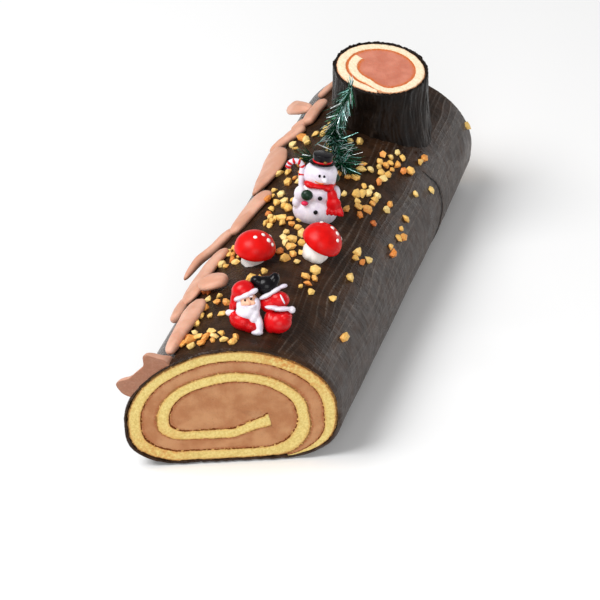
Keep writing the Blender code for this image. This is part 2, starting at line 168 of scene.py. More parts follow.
# ---- materials ----------------------------------------------------------------------------------
class Graph:
    """A material's node tree, with short ways to add nodes and join them."""

    def __init__(self, name: str, roughness: float, **sockets: float) -> None:
        """Starts from the principled shader.

        Args:
            name: The material's name.
            roughness: The shader's roughness.
            sockets: More values of the shader's sockets, with _ for a space.
        """
        self.material = bpy.data.materials.new(name)
        self.material.use_nodes = True
        self.tree = self.material.node_tree
        self.shader = self.tree.nodes["Principled BSDF"]
        self.shader.inputs["Roughness"].default_value = roughness
        for socket, value in sockets.items():
            self.shader.inputs[socket.replace("_", " ")].default_value = value

    def node(self, kind: str, values: dict, **settings: object) -> bpy.types.Node:
        """Adds a node.

        Args:
            kind: The node's type, without its ShaderNode prefix.
            values: What each input takes, a value or another node's output.
            settings: The node's own properties.

        Returns:
            The node.
        """
        made = self.tree.nodes.new("ShaderNode" + kind)
        for key, value in settings.items():
            setattr(made, key, value)
        for key, value in values.items():
            if isinstance(value, bpy.types.NodeSocket):
                self.tree.links.new(value, made.inputs[key])
            else:
                made.inputs[key].default_value = value
        return made

    def coords(self, stretch: Sequence[float] = (1, 1, 1), chart: bool = False) -> bpy.types.NodeSocket:
        """Object coordinates, or the piece's own UV map, stretched."""
        source = self.node("TexCoord", {}).outputs["UV" if chart else "Object"]
        return self.node("Mapping", {"Vector": source, "Scale": tuple(stretch)}).outputs[0]

    def grain(self, size: float, detail: float = 3.0, vector: bpy.types.NodeSocket | None = None
              ) -> bpy.types.NodeSocket:
        """Noise whose lumps are about a size across."""
        return self.node("TexNoise", {"Vector": vector or self.coords(), "Scale": 1 / size,
                                      "Detail": detail}).outputs[0]

    def mark(self, name: str) -> bpy.types.NodeSocket:
        """A value that the mesh carries at each vertex."""
        return self.node("Attribute", {}, attribute_name=name).outputs["Fac"]

    def step(self, value: bpy.types.NodeSocket, low: float, high: float, to: float = 1.0
             ) -> bpy.types.NodeSocket:
        """A smooth step from 0 to a height as a value goes from low to high."""
        return self.node("MapRange", {"Value": value, "From Min": low, "From Max": high, "To Max": to},
                         interpolation_type="SMOOTHSTEP").outputs[0]

    def patches(self, size: float, detail: float, low: float, high: float, to: float = 1.0
                ) -> bpy.types.NodeSocket:
        """Patches of noise of a size, with soft rims, up to a height."""
        return self.step(self.grain(size, detail), low, high, to)

    def sum(self, operation: str, a: object, b: object) -> bpy.types.NodeSocket:
        """A sum of two values: ADD, MULTIPLY and so on."""
        return self.node("Math", {0: a, 1: b}, operation=operation).outputs[0]

    def times(self, a: object, b: object) -> bpy.types.NodeSocket:
        """The product of two values."""
        return self.sum("MULTIPLY", a, b)

    def plus(self, a: object, b: object) -> bpy.types.NodeSocket:
        """The sum of two values."""
        return self.sum("ADD", a, b)

    def minus(self, a: object, b: object) -> bpy.types.NodeSocket:
        """The first value less the second."""
        return self.sum("SUBTRACT", a, b)

    def distance(self, value: object) -> bpy.types.NodeSocket:
        """How far a value is from 0."""
        return self.sum("ABSOLUTE", value, 0)

    def blend(self, factor: object, a: object, b: object) -> bpy.types.NodeSocket:
        """The colour between a and b."""
        return self.node("Mix", {0: factor, 6: a, 7: b}, data_type="RGBA").outputs[2]

    def finish(self, colour: bpy.types.NodeSocket, height: bpy.types.NodeSocket, depth: float,
               strength: float = 0.6) -> bpy.types.Material:
        """Joins the colour and the fine relief to the shader.

        Args:
            colour: The base colour.
            height: The relief's height, 0 to 1.
            depth: How deep that relief is.
            strength: How much of it is used.

        Returns:
            The material.
        """
        relief = self.node("Bump", {"Height": height, "Strength": strength, "Distance": depth})
        self.tree.links.new(colour, self.shader.inputs["Base Color"])
        self.tree.links.new(relief.outputs[0], self.shader.inputs["Normal"])
        return self.material


@dataclass(frozen=True)
class SpongeFinish:
    """Open crumb with a thin browned skin on both faces of the sheet."""

    name: str
    light: tuple
    dark: tuple
    skin: tuple
    toast: tuple
    skin_from: float        # how far across the half sheet the browned skin starts
    dashes: float           # 0 for an unbroken skin line, up to 1 for a dotted one
    halo: float = 0.45      # how strongly the crumb browns beside the skin

    def material(self) -> bpy.types.Material:
        """Builds the material."""
        graph = Graph(self.name, 0.95, Specular_IOR_Level=0.15)
        crumb = graph.blend(graph.patches(1.1 * MM, 4, 0.30, 0.66), self.dark, self.light)
        # painted shade: the pores are small dark spots, the shade inside the crumb's holes
        pores = graph.patches(0.5 * MM, 2, 0.60, 0.74, 0.45)
        crumb = graph.blend(pores, crumb, darker(self.dark, 0.62))
        toasted = graph.times(graph.mark("toast"), graph.patches(1.6 * MM, 3, 0.3, 0.7))
        crumb = graph.blend(toasted, crumb, self.toast)
        chart = graph.node("SeparateXYZ", {0: graph.coords(chart=True)})
        middle = graph.minus(chart.outputs[1], 0.5)
        edge = graph.times(graph.distance(middle), 2.0)
        ragged = graph.plus(edge, graph.times(graph.grain(0.8 * MM, 3), 0.12))
        halo = graph.step(ragged, self.skin_from - 0.28, self.skin_from + 0.06, self.halo)
        crumb = graph.blend(halo, crumb, self.toast)
        line = graph.step(ragged, self.skin_from + 0.03, self.skin_from + 0.10)
        gaps = graph.patches(1.3 * MM, 2, 0.40 * self.dashes, 0.40 * self.dashes + 0.14)
        inner = graph.step(chart.outputs[1], 0.2, 0.6)
        weight = graph.plus(graph.times(inner, 0.3), 0.7)
        crumb = graph.blend(graph.times(graph.times(line, gaps), weight), crumb, self.skin)
        height = graph.plus(graph.grain(0.7 * MM, 3), graph.grain(1.8 * MM, 2))
        return graph.finish(crumb, height, 0.5 * MM, 0.75)


@dataclass(frozen=True)
class CreamFinish:
    """Whipped or piped buttercream: two close tones, fine pores, a darker tone laid by the mesh's tip mark,
    and a soft relief.
    """

    name: str
    light: tuple
    dark: tuple
    # the darker tone: a browned fringe on the cream swirl; on the piped strokes painted shade on their
    # lower sides and cut face, and the colour of their pointed ends
    tip: tuple
    pores: float
    roughness: float = 0.62
    ragged: float = 1.0     # how much the darker fringe breaks up

    def material(self) -> bpy.types.Material:
        """Builds the material."""
        graph = Graph(self.name, self.roughness, Specular_IOR_Level=0.3, Subsurface_Weight=0.08,
                      Subsurface_Scale=2 * MM)
        base = graph.blend(graph.patches(9 * MM, 4, 0.35, 0.68), self.dark, self.light)
        # painted shade: the pores are small dark spots, the shade inside the cream's holes
        holes = graph.patches(0.6 * MM, 2, 0.66, 0.76, self.pores)
        base = graph.blend(holes, base, darker(self.dark, 0.5))
        broken = graph.patches(0.9 * MM, 3, 0.25, 0.62, 1.4 * self.ragged)
        # the tip mark: a browned fringe on the cream swirl, painted shade on the piped strokes
        fringe = graph.times(graph.mark("tip"), graph.plus(broken, 1.0 - self.ragged))
        base = graph.blend(fringe, base, self.tip)
        height = graph.plus(graph.grain(3.0 * MM, 2), graph.grain(0.9 * MM, 3))
        return graph.finish(base, height, 0.3 * MM, 0.25 + 0.5 * self.pores)


@dataclass(frozen=True)
class ChocolateFinish:
    """Satin dark chocolate with combed lines and fine hairlines across them, and painted light: a pale
    painted highlight on the combed lines, a grey painted sheen towards the right and painted shade in the
    crack.
    """

    name: str
    dark: tuple = tone(40, 25, 15)
    light: tuple = tone(60, 39, 25)
    # painted highlight: the pale tone of the combed lines stands for light caught on their ridges
    line: tuple = tone(140, 128, 116)
    roughness: float = 0.34
    shine: float = 0.17
    painted_sheen: tuple = tone(92, 88, 86)             # painted sheen: grey streaks on the right shoulder, light reflected there painted into the colour
    painted_sheen_strength: float = 0.5                        # how strong they are
    painted_sheen_from: float = 31.0 * MM               # how far to the right they start and are full
    painted_sheen_full: float = 43.0 * MM
    gap: tuple = tone(10, 7, 7)                 # painted shade inside the crack

    def crack(self, graph: Graph) -> bpy.types.NodeSocket:
        """How much of the thin crack down the right shoulder there is; the crack is coloured with painted
        shade.
        """
        where = graph.node("SeparateXYZ", {0: graph.coords()})
        above = graph.minus(where.outputs[2], CRACK_LEVEL)
        middle = graph.minus(CRACK_Y, graph.times(graph.times(above, above), CRACK_BEND))
        waver = graph.times(graph.minus(graph.grain(6 * MM, 2), 0.5), 1.5 * MM)
        away = graph.distance(graph.plus(graph.minus(where.outputs[1], middle), waver))
        thin = graph.minus(1.0, graph.step(away, 0.15 * MM, 0.75 * MM))
        low = graph.step(where.outputs[2], 12 * MM, 17 * MM)
        high = graph.minus(1.0, graph.step(where.outputs[2], 47 * MM, 50 * MM))
        right = graph.step(where.outputs[0], 33 * MM, 34 * MM)
        return graph.times(graph.times(thin, right), graph.times(low, high))

    def material(self) -> bpy.types.Material:
        """Builds the material."""
        graph = Graph(self.name, self.roughness, Specular_IOR_Level=self.shine)
        base = graph.blend(graph.patches(7 * MM, 4, 0.35, 0.68), self.dark, self.light)
        side = graph.node("SeparateXYZ", {0: graph.coords()}).outputs[0]
        # painted sheen: grey streaks blended into the colour towards the right, standing for light
        # reflected off the shoulder
        sheen_streaks = graph.step(graph.grain(3 * MM, 3, graph.coords((0.4, 0.9, 0.4))), 0.3, 0.68, self.painted_sheen_strength)
        sheen_mask = graph.times(graph.step(side, self.painted_sheen_from, self.painted_sheen_full), sheen_streaks)
        base = graph.blend(sheen_mask, base, self.painted_sheen)
        # painted highlight: the combed lines, broken up by noise, are blended towards the pale line tone
        faded_lines = graph.times(graph.mark("grain"), graph.patches(1.4 * MM, 3, 0.3, 0.6, 0.42))
        base = graph.blend(faded_lines, base, self.line)
        crack = self.crack(graph)
        # painted shade: the crack is filled with a near-black colour
        base = graph.blend(crack, base, self.gap)
        across = graph.grain(0.9 * MM, 3, graph.coords((0.12, 1.0, 0.12)))
        hairs = graph.step(across, 0.36, 0.64)
        wet = graph.step(graph.times(side, -1.0), 2 * MM, 22 * MM)
        satin = graph.plus(graph.patches(4 * MM, 3, 0.3, 0.7, 0.14), self.roughness - 0.07)
        satin = graph.minus(satin, graph.times(wet, 0.12))
        graph.tree.links.new(satin, graph.shader.inputs["Roughness"])
        dimples = graph.times(graph.patches(1.5 * MM, 3, 0.3, 0.7, 2.2), wet)
        height = graph.plus(graph.times(hairs, 0.8), graph.grain(1.6 * MM, 3))
        height = graph.plus(height, graph.minus(dimples, graph.times(crack, 3.0)))
        return graph.finish(base, height, 0.24 * MM, 0.55)


@dataclass(frozen=True)
class PaintFinish:
    """Moulded sugar or plastic under a coat of paint, slightly uneven."""

    name: str
    colour: tuple
    shade: tuple
    roughness: float = 0.28
    metal: float = 0.0
    gloss: float = 0.28

    def material(self) -> bpy.types.Material:
        """Builds the material."""
        graph = Graph(self.name, self.roughness, Metallic=self.metal, Specular_IOR_Level=self.gloss)
        base = graph.blend(graph.patches(4 * MM, 3, 0.35, 0.7, 0.8), self.colour, self.shade)
        return graph.finish(base, graph.grain(2.4 * MM, 2), 0.05 * MM, 0.15)


@dataclass(frozen=True)
class MarkedFinish:
    """A finish whose colour each small piece sets for itself, from its own mark."""

    name: str
    stops: tuple
    roughness: float
    metal: float = 0.0
    fine: float = 0.9 * MM

    def material(self) -> bpy.types.Material:
        """Builds the material."""
        graph = Graph(self.name, self.roughness, Metallic=self.metal, Specular_IOR_Level=0.4)
        mark = graph.mark("mark")
        speckle = graph.times(graph.minus(graph.grain(self.fine, 3), 0.5), 0.7)
        place = graph.plus(mark, speckle)
        colour = self.stops[0][1]
        for (low, _), (high, stop) in zip(self.stops, self.stops[1:]):
            colour = graph.blend(graph.step(place, low, high), colour, stop)
        return graph.finish(colour, graph.grain(self.fine, 3), 0.25 * MM, 0.5)


# ---- pieces -------------------------------------------------------------------------------------
def adopt(name: str, body: bmesh.types.BMesh, material: bpy.types.Material, slot: Slot | None = None,
          nodes: Iterable[str] = (), shade: bool = True) -> None:
    """Makes a piece of a finished bmesh, and tells the frame about it.

    Args:
        name: The piece's name.
        body: The mesh, which is freed.
        material: Its finish.
        slot: Not used.
        nodes: The CAD nodes that it stands for.
        shade: Whether its faces are shaded smooth.
    """
    body.normal_update()
    bmesh.ops.recalc_face_normals(body, faces=body.faces)
    for face in body.faces:
        face.smooth = shade
    mesh = bpy.data.meshes.new(name)
    body.to_mesh(mesh)
    body.free()
    mesh.materials.append(material)
    piece = bpy.data.objects.new(name, mesh)
    bpy.context.scene.collection.objects.link(piece)
    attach(piece, "root")
    if nodes:
        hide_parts(*nodes)
    LOG.info("%s: %d faces", name, len(mesh.polygons))


def loft(columns: int, rows: int, place: Place, marks: dict[str, Place] | None = None,
         chart: Callable[[float, float], tuple[float, float]] | None = None, capped: bool = False
         ) -> bmesh.types.BMesh:
    """A grid bent into shape, with its meeting edges merged and, if capped, its open ends closed.

    Args:
        columns: Faces along u.
        rows: Faces along v.
        place: Where the vertex at (u, v), each 0 to 1, goes.
        marks: Values that the vertices carry, by name.
        chart: The UV map, if the material reads one.
        capped: Whether what stays open is closed with a face.

    Returns:
        The mesh.
    """
    body = bmesh.new()
    bmesh.ops.create_grid(body, x_segments=columns, y_segments=rows, size=0.5)
    layers = {name: body.verts.layers.float.new(name) for name in marks or {}}
    if chart:
        uv = body.loops.layers.uv.new("UVMap")
        for face in body.faces:
            for corner in face.loops:
                corner[uv].uv = chart(corner.vert.co.x + 0.5, corner.vert.co.y + 0.5)
    for vertex in body.verts:
        u, v = vertex.co.x + 0.5, vertex.co.y + 0.5
        for name, layer in layers.items():
            vertex[layer] = marks[name](u, v)
        vertex.co = place(u, v)
    bmesh.ops.remove_doubles(body, verts=body.verts, dist=0.002 * MM)
    if capped:
        rim = [edge for edge in body.edges if edge.is_boundary]
        bmesh.ops.holes_fill(body, edges=rim, sides=0)
    return body


def facing(way: Vector) -> Matrix:
    """The turn that points the Z axis along a way."""
    return way.to_track_quat("Z", "Y").to_matrix().to_4x4()


def soften(body: bmesh.types.BMesh, offset: float, segments: int = 1) -> None:
    """Bevels every edge of a mesh."""
    bmesh.ops.bevel(body, geom=body.edges, offset=offset, segments=segments, profile=0.5, affect="EDGES",
                    material=-1)


@dataclass(frozen=True)
class Lump:
    """An ellipsoid in a figure's own millimetres, tilted about Y by some degrees."""

    centre: tuple
    radii: tuple
    tilt: float = 0.0

    def add_to(self, body: bmesh.types.BMesh, segments: int = 28, rings: int = 18) -> None:
        """Adds the lump to a mesh."""
        tilt = Matrix.Rotation(math.radians(self.tilt), 4, "Y")
        place = (Matrix.Translation(Vector(self.centre) * MM) @ tilt
                 @ Matrix.Diagonal((*(Vector(self.radii) * MM), 1.0)))
        bmesh.ops.create_uvsphere(body, u_segments=segments, v_segments=rings, radius=1.0, matrix=place)


def bar(points: Sequence[Vector], radii: Sequence[float], sides: int = 10, steps: int = 24
        ) -> bmesh.types.BMesh:
    """A round bar along a smooth curve, with round ends.

    Args:
        points: The curve's points, in metres.
        radii: The bar's radius at evenly spaced places along it.
        sides: Faces around it.
        steps: Faces along it.

    Returns:
        The mesh.
    """
    body = bmesh.new()
    bmesh.ops.create_uvsphere(body, u_segments=sides, v_segments=steps, radius=1.0)
    for vertex in body.verts:
        t = (vertex.co.z + 1) / 2
        centre = curve_at(points, t)
        way = curve_step(points, t - 0.03, t + 0.03)
        side = way.cross(Vector((0.12, 0.31, 0.94))).normalized()
        over = side.cross(way.normalized())
        ring = math.hypot(vertex.co.x, vertex.co.y) or 1.0
        girth = along(radii, t) * math.sqrt(max(1 - abs(vertex.co.z) ** 8, 0.0)) / ring
        vertex.co = centre + (side * vertex.co.x + over * vertex.co.y) * girth
    return body


def merged(lumps: Iterable[Lump], voxel: float, rounds: int, extra: Sequence[bmesh.types.BMesh]
           ) -> bmesh.types.BMesh:
    """One moulded skin over overlapping lumps, with its creases softened.

    Args:
        lumps: The lumps.
        voxel: How fine the skin is.
        rounds: How often it is softened.
        extra: More closed meshes that it covers, which are freed.

    Returns:
        The skin.
    """
    body = bmesh.new()
    for lump in lumps:
        lump.add_to(body)
    mesh = bpy.data.meshes.new("lumps")
    body.to_mesh(mesh)
    body.free()
    for more in extra:
        part = bpy.data.meshes.new("more")
        more.to_mesh(part)
        more.free()
        joined = bmesh.new()
        joined.from_mesh(mesh)
        joined.from_mesh(part)
        joined.to_mesh(mesh)
        joined.free()
    guide = bpy.data.objects.new("lumps", mesh)
    bpy.context.scene.collection.objects.link(guide)
    remesh = guide.modifiers.new("skin", "REMESH")
    remesh.mode = "VOXEL"
    remesh.voxel_size = voxel
    bpy.context.view_layer.update()
    skin = bpy.data.meshes.new_from_object(guide.evaluated_get(bpy.context.evaluated_depsgraph_get()))
    bpy.data.objects.remove(guide)
    result = bmesh.new()
    result.from_mesh(skin)
    for _ in range(rounds):
        bmesh.ops.smooth_vert(result, verts=result.verts, factor=0.5, use_axis_x=True, use_axis_y=True,
                              use_axis_z=True)
    return result


# ---- the roll -----------------------------------------------------------------------------------
@dataclass(frozen=True)
class Roll:
    """The roll's section and its two slanted ends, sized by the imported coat."""

    half_width: float
    height: float
    half_length: float
    middle: float = 26.7 * MM
    belly_drop: float = 1.5 * MM
    top_fullness: float = 1.92
    belly_fullness: float = 3.15
    front_slope: float = math.tan(math.radians(22.3))
    back_slope: float = math.tan(math.radians(4.8))

    @classmethod
    def from_frame(cls) -> "Roll":
        """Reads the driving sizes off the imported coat."""
        _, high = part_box("chocolate_coat")
        return cls(high.x, high.z, high.y - high.x * cls.back_slope)

    def point(self, angle: float, depth: float = 0.0) -> Vector:
        """(x, z) at an angle in degrees round the roll, at a depth inside the coat's face."""
        c, s = math.cos(math.radians(angle)), math.sin(math.radians(angle))
        tall = (self.height - self.middle if s >= 0 else self.middle + self.belly_drop) - depth
        fullness = self.top_fullness if s >= 0 else self.belly_fullness
        wide, high = abs(c / (self.half_width - depth)), abs(s / tall)
        radius = (wide ** fullness + high ** fullness) ** (-1 / fullness)
        return Vector((radius * c, max(self.middle + radius * s, depth)))

    def outward(self, angle: float) -> Vector:
        """The way out of the roll at an angle."""
        way = self.point(angle + 0.5) - self.point(angle - 0.5)
        return Vector((way.y, 0.0, -way.x)).normalized()

    def spot(self, angle: float, y: float, rise: float = 0.0) -> Vector:
        """The point over the coat at an angle and a place along the roll."""
        here = self.point(angle)
        return Vector((here.x, y, here.y)) + self.outward(angle) * rise

    def reach(self, angle: float) -> float:
        """How far apart two points one degree apart are."""
        return (self.point(angle + 1) - self.point(angle - 1)).length / 2

    def front(self, x: float) -> float:
        """Where the front cut face is."""
        return -self.half_length + x * self.front_slope

    def back(self, x: float) -> float:
        """Where the back cut face is."""
        return self.half_length + x * self.back_slope

    def seat(self, flat: Vector, end: float, relief: float) -> Vector:
        """A point of the section carried to an end of the roll.

        Args:
            flat: (x, z) in the section.
            end: 0 for the front face, 1 for the back face.
            relief: How far it stands out of that face.

        Returns:
            The point.
        """
        y = mix(self.front(flat.x) - relief, self.back(flat.x) + relief, end)
        return Vector((flat.x, y, flat.y))

    def top_at(self, x: float) -> float:
        """The height of the coat over a place across the roll."""
        share = min(abs(x) / self.half_width, 0.999)
        crown = (1 - share ** self.top_fullness) ** (1 / self.top_fullness)
        return self.middle + (self.height - self.middle) * crown


@dataclass(frozen=True)
class Stump:
    """The stump's size and place, read off its packed core."""

    centre: Vector
    radius: float
    top: float
    foot: float
    fall_x: float = -math.tan(math.radians(4.5))
    rise_y: float = math.tan(math.radians(2.0))

    @classmethod
    def from_frame(cls, icing: float) -> "Stump":
        """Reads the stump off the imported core.

        Args:
            icing: How thick the bark is.

        Returns:
            The stump.
        """
        low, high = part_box("stump_sponge")
        core = (high.x - low.x) / 2
        tilt = math.hypot(cls.fall_x, cls.rise_y) * core
        return cls(Vector(((low.x + high.x) / 2, (low.y + high.y) / 2)), core + icing, high.z - tilt, low.z)

    def point(self, angle: float, depth: float) -> Vector:
        """(x, y) at an angle round the stump, at a depth inside its bark's face."""
        turn = math.radians(angle)
        return self.centre + Vector((math.cos(turn), math.sin(turn))) * (self.radius - depth)

    def plane(self, x: float, y: float) -> float:
        """Height of the cut top."""
        return self.top + (x - self.centre.x) * self.fall_x + (y - self.centre.y) * self.rise_y

    def seat(self, flat: Vector, end: float, relief: float) -> Vector:
        """A point of the section carried to the cut top (end 0) or down into the roll (end 1)."""
        return Vector((flat.x, flat.y, mix(self.plane(flat.x, flat.y) + relief, self.foot - relief, end)))


@dataclass(frozen=True)
class Spiral:
    """A rolled sheet: where it starts, which way it winds, and how its turns lie on each other."""

    seam: float
    sense: int
    total: float
    first_depth: float
    sheet: float
    pitch: float
    step_from: float
    step_over: float
    tip_from: float
    tip_outer: tuple
    tip_inner: tuple

    def angle(self, turn: float) -> float:
        """The angle round the roll after some degrees of winding."""
        return self.seam + self.sense * turn

    def stepped(self, turn: float) -> float:
        """How far the sheet has stepped inwards, 0 to 1."""
        return smooth((turn - self.step_from) / self.step_over)

    def face(self, point: Callable[[float, float], Vector], turn: float, side: float, further: float = 0.0
             ) -> Vector:
        """A point between the sheet's outer face (side 0) and its inner face (side 1), or further in.

        Args:
            point: The section's point at an angle and a depth.
            turn: How many degrees of winding it comes after.
            side: 0 to 1 across the sheet.
            further: How much deeper it lies.

        Returns:
            The point in the section.
        """
        depth = self.first_depth + self.pitch * self.stepped(turn) + further
        depth += side * self.sheet * self.stepped(turn + 360)
        bend = max((turn - self.tip_from) / (self.total - self.tip_from), 0.0) ** 1.3
        shift = Vector(self.tip_outer).lerp(Vector(self.tip_inner), side) * MM
        return point(self.angle(turn), depth) + shift * bend


@dataclass
class RolledSheet:
    """A sheet of sponge rolled up with cream, cut at both ends."""

    name: str
    spiral: Spiral
    point: Callable[[float, float], Vector]
    seat: Callable[[Vector, float, float], Vector]
    core: Vector
    steps: int
    rows: int
    proud: float
    ragged: float
    toasted: tuple
    begin: float
    overlap: float = 0.7 * MM
    lip: float = 0.9 * MM
    fringe: float = 0.6
    fringe_width: float = 0.8 * MM

    def build_sponge(self, finish: SpongeFinish) -> None:
        """The sheet, with an open crumb on its cut ends and fraying edges.

        Args:
            finish: The sponge's finish.
        """
        spiral, counts = self.spiral, (self.rows, 1, self.rows, 1)

        def flat(u: float, v: float) -> tuple[Vector, float, float]:
            _, across, end = around(v, counts)
            turn = spiral.total * u
            lip = self.lip * smooth((turn - spiral.total + 5) / 5) * (across - 0.3)
            here = spiral.face(self.point, turn, across)
            spread = Vector((here.x, here.y, 0))
            fray = rough(spread, 2.6 * MM, across) + 0.9 * rough(spread, 0.75 * MM, across)
            wave = 0.45 * MM * rough(spread, 14 * MM, 4) * smooth((turn - 25) / 60)
            further = abs(2 * across - 1) ** 3 * self.ragged * fray + wave + lip
            return spiral.face(self.point, turn, across, further), end, across

        def place(u: float, v: float) -> Vector:
            here, end, across = flat(u, v)
            spread = Vector((here.x, here.y, end))
            crumb = 0.16 * MM * rough(spread, 1.0 * MM, 1) + 0.22 * MM * rough(spread, 3.2 * MM, 2)
            relief = self.proud + crumb - 0.35 * MM * abs(2 * across - 1) ** 10
            return self.seat(here, end, relief if end in (0.0, 1.0) else 0.0)

        def toast(u: float, v: float) -> float:
            here, _, _ = flat(u, v)
            amounts = (weight * hump((here - Vector(spot) * MM).length, spread * MM)
                       for spot, spread, weight in self.toasted)
            return min(sum(amounts), 1.0)

        body = loft(self.steps, sum(counts), place, {"toast": toast},
                    lambda u, v: (u, around(v, counts)[1]), capped=True)
        node = self.name + "_sponge"
        adopt(node + "_crumb", body, finish.material(), Slot.SPONGE, [node])

    def build_cream(self, finish: CreamFinish) -> None:
        """The cream between the turns and in the middle.

        Args:
            finish: The cream's finish.
        """
        spiral, counts = self.spiral, (22, 1, 22, 1)
        last = spiral.total - 360

        def flat(u: float, across: float) -> Vector:
            turn = mix(self.begin, spiral.total, u)
            outside = spiral.face(self.point, turn, 1, -self.overlap)
            under = spiral.face(self.point, min(turn + 360, spiral.total), 0, self.overlap)
            return outside.lerp(under.lerp(self.core, smooth((turn - last + 1) / 3)), across)

        def place(u: float, v: float) -> Vector:
            _, across, end = around(v, counts)
            here = flat(u, across)
            spread = Vector((here.x, here.y, end))
            relief = 0.14 * MM * rough(spread, 5 * MM, 3) + 0.05 * MM * rough(spread, 1.3 * MM, 5)
            return self.seat(here, end, relief if end in (0.0, 1.0) else 0.0)

        def edge(u: float, v: float) -> float:
            here = flat(u, around(v, counts)[1])
            rim = (here - flat(u, 0.0)).length
            in_core = mix(self.begin, spiral.total, u) > last
            far = (here - flat(u, 1.0)).length + (1.0 if in_core else 0.0)
            return self.fringe * hump(min(rim, far) - self.overlap, self.fringe_width)

        body = loft(int(self.steps * 0.6), sum(counts), place, {"tip": edge}, capped=True)
        node = self.name + "_cream"
        adopt(node + "_swirl", body, finish.material(), Slot.FILLING, [node])


# ---- chocolate ----------------------------------------------------------------------------------
@dataclass
class ChocolateCoat:
    """The icing round the roll: combed wood-grain lines, soft swellings, a crack and a ragged rim."""

    roll: Roll
    thickness: float = 1.5 * MM
    line_gap: float = 3.5 * MM
    mean_radius: float = 43 * MM
    rim_radius: float = 46 * MM     # spreads the rim's roughness
    fine_from: float = -14.0        # the finely meshed part, which faces up and to the right
    fine_to: float = 118.0
    fine_share: float = 0.70
    columns: int = 370
    rows: tuple = (214, 3, 8, 3)    # outside, back rim, inside, front rim
    swells: tuple = ((20, 117, 20, 11, 1.3), (38, 108, 14, 10, 0.8), (150, -20, 16, 40, 0.5),
                     (62, -118, 14, 12, 0.3), (118, -60, 14, 25, 0.5), (-6, 40, 14, 60, 0.5))

    def angle(self, u: float) -> float:
        """The angle round the roll at a fraction of the columns."""
        if u < self.fine_share:
            return mix(self.fine_from, self.fine_to, u / self.fine_share)
        return mix(self.fine_to, self.fine_from + 360, (u - self.fine_share) / (1 - self.fine_share))

    def arc(self, angle: float) -> float:
        """About how far round the coat an angle is from the right side."""
        return math.radians(angle) * self.mean_radius

    def comb(self, angle: float, y: float) -> float:
        """How much of a combed line, 0 to 1, there is at a place on the coat."""
        s = self.arc(angle)
        spread = Vector((s, y * 0.22, 0.0))
        phase = s / self.line_gap + 1.2 * rough(spread, 14 * MM, 1) + 0.25 * rough(spread, 5 * MM, 2)
        for arch_s, arch_y, tall in ((30, 35, 1.1), (16, -50, 0.9), (40, -96, 1.4), (50, 20, 0.8)):
            beside = (s - arch_s * MM) / (12 * MM)
            phase += tall * math.exp(-((y - arch_y * MM) / (24 * MM)) ** 2 - beside * beside)
        distance = abs(phase - math.floor(phase) - 0.5)
        faded_lines = smooth(0.75 + 1.7 * rough(Vector((s, y * 0.2, 5.0)), 9 * MM, 3))
        # The lines are strong on the right shoulder and faint on the top and the left; their pale colour is
        # painted highlight on the combed ridges.
        shown = 0.05
        if angle < 150:
            shown = mix(0.07, 0.85, smooth((80 - angle) / 24)) * smooth((angle + 25) / 20)
        return hump(distance, 0.085) * faded_lines * shown

    def flap(self, here: Vector) -> float:
        """How much the icing stands up behind the crack down the right shoulder, 0 to 1."""
        behind = here.y - (CRACK_Y - CRACK_BEND * (here.z - CRACK_LEVEL) ** 2)
        if here.x < 30 * MM or behind < 0:
            return 0.0
        return smooth(behind / MM) * math.exp(-behind / (14 * MM)) * smooth((52 * MM - here.z) / (12 * MM))

    def relief(self, angle: float, y: float) -> float:
        """How far the coat stands out of its plain section at a place."""
        here = self.roll.spot(angle, y)
        lift = 0.38 * MM * rough(here, 26 * MM, 1) + 0.10 * MM * rough(here, 6 * MM, 2)
        for at, along_y, wide, long, tall in self.swells:
            turn = (angle - at + 180) % 360 - 180
            lift += tall * MM * hump(turn, wide) * hump(y - along_y * MM, long * MM)
        lift += 0.16 * MM * self.comb(angle, y) + 0.7 * MM * self.flap(here)
        return lift if here.z > 6 * MM else min(lift, 0.0) * 0.2

    def build(self, finish: ChocolateFinish) -> None:
        """The coat, as one closed skin open at both cut faces.

        Args:
            finish: The chocolate's finish.
        """
        roll = self.roll

        def place(u: float, v: float) -> Vector:
            side, along_roll, sunk = around(v, self.rows)
            angle = self.angle(u)
            turn = polar(angle) * self.rim_radius
            thick = self.thickness + 0.5 * MM * rough(turn, 5 * MM, 7)
            thick += 0.25 * MM * rough(turn, 1.6 * MM, 8)
            at_cut = 1 if along_roll in (0, 1) else 0
            here = roll.point(angle, thick * sunk)
            bulge = 0.55 * MM * math.sin(math.pi * sunk) if side in (1, 3) else 0.0
            fray = 0.45 * MM * rough(turn, 3 * MM, 9 + along_roll) + 0.3 * MM * rough(turn, 1.1 * MM, 12)
            flat = roll.seat(here, along_roll, 0.25 * MM + bulge + fray * at_cut)
            lift = self.relief(angle, flat.y) * (1 - sunk) - 0.35 * MM * at_cut * (1 - sunk)
            flat += roll.outward(angle) * lift
            flat.z = max(flat.z, 0.0)
            return flat

        def outside(what: Place) -> Place:
            def read(u: float, v: float) -> float:
                side, t, _ = around(v, self.rows)
                angle = self.angle(u)
                if side:
                    return 0.0
                x = roll.point(angle).x
                return what(angle, mix(roll.front(x), roll.back(x), t))
            return read

        body = loft(self.columns, sum(self.rows), place, {"grain": outside(self.comb)})
        adopt("combed_icing", body, finish.material(), Slot.CHOCOLATE, ["chocolate_coat"])


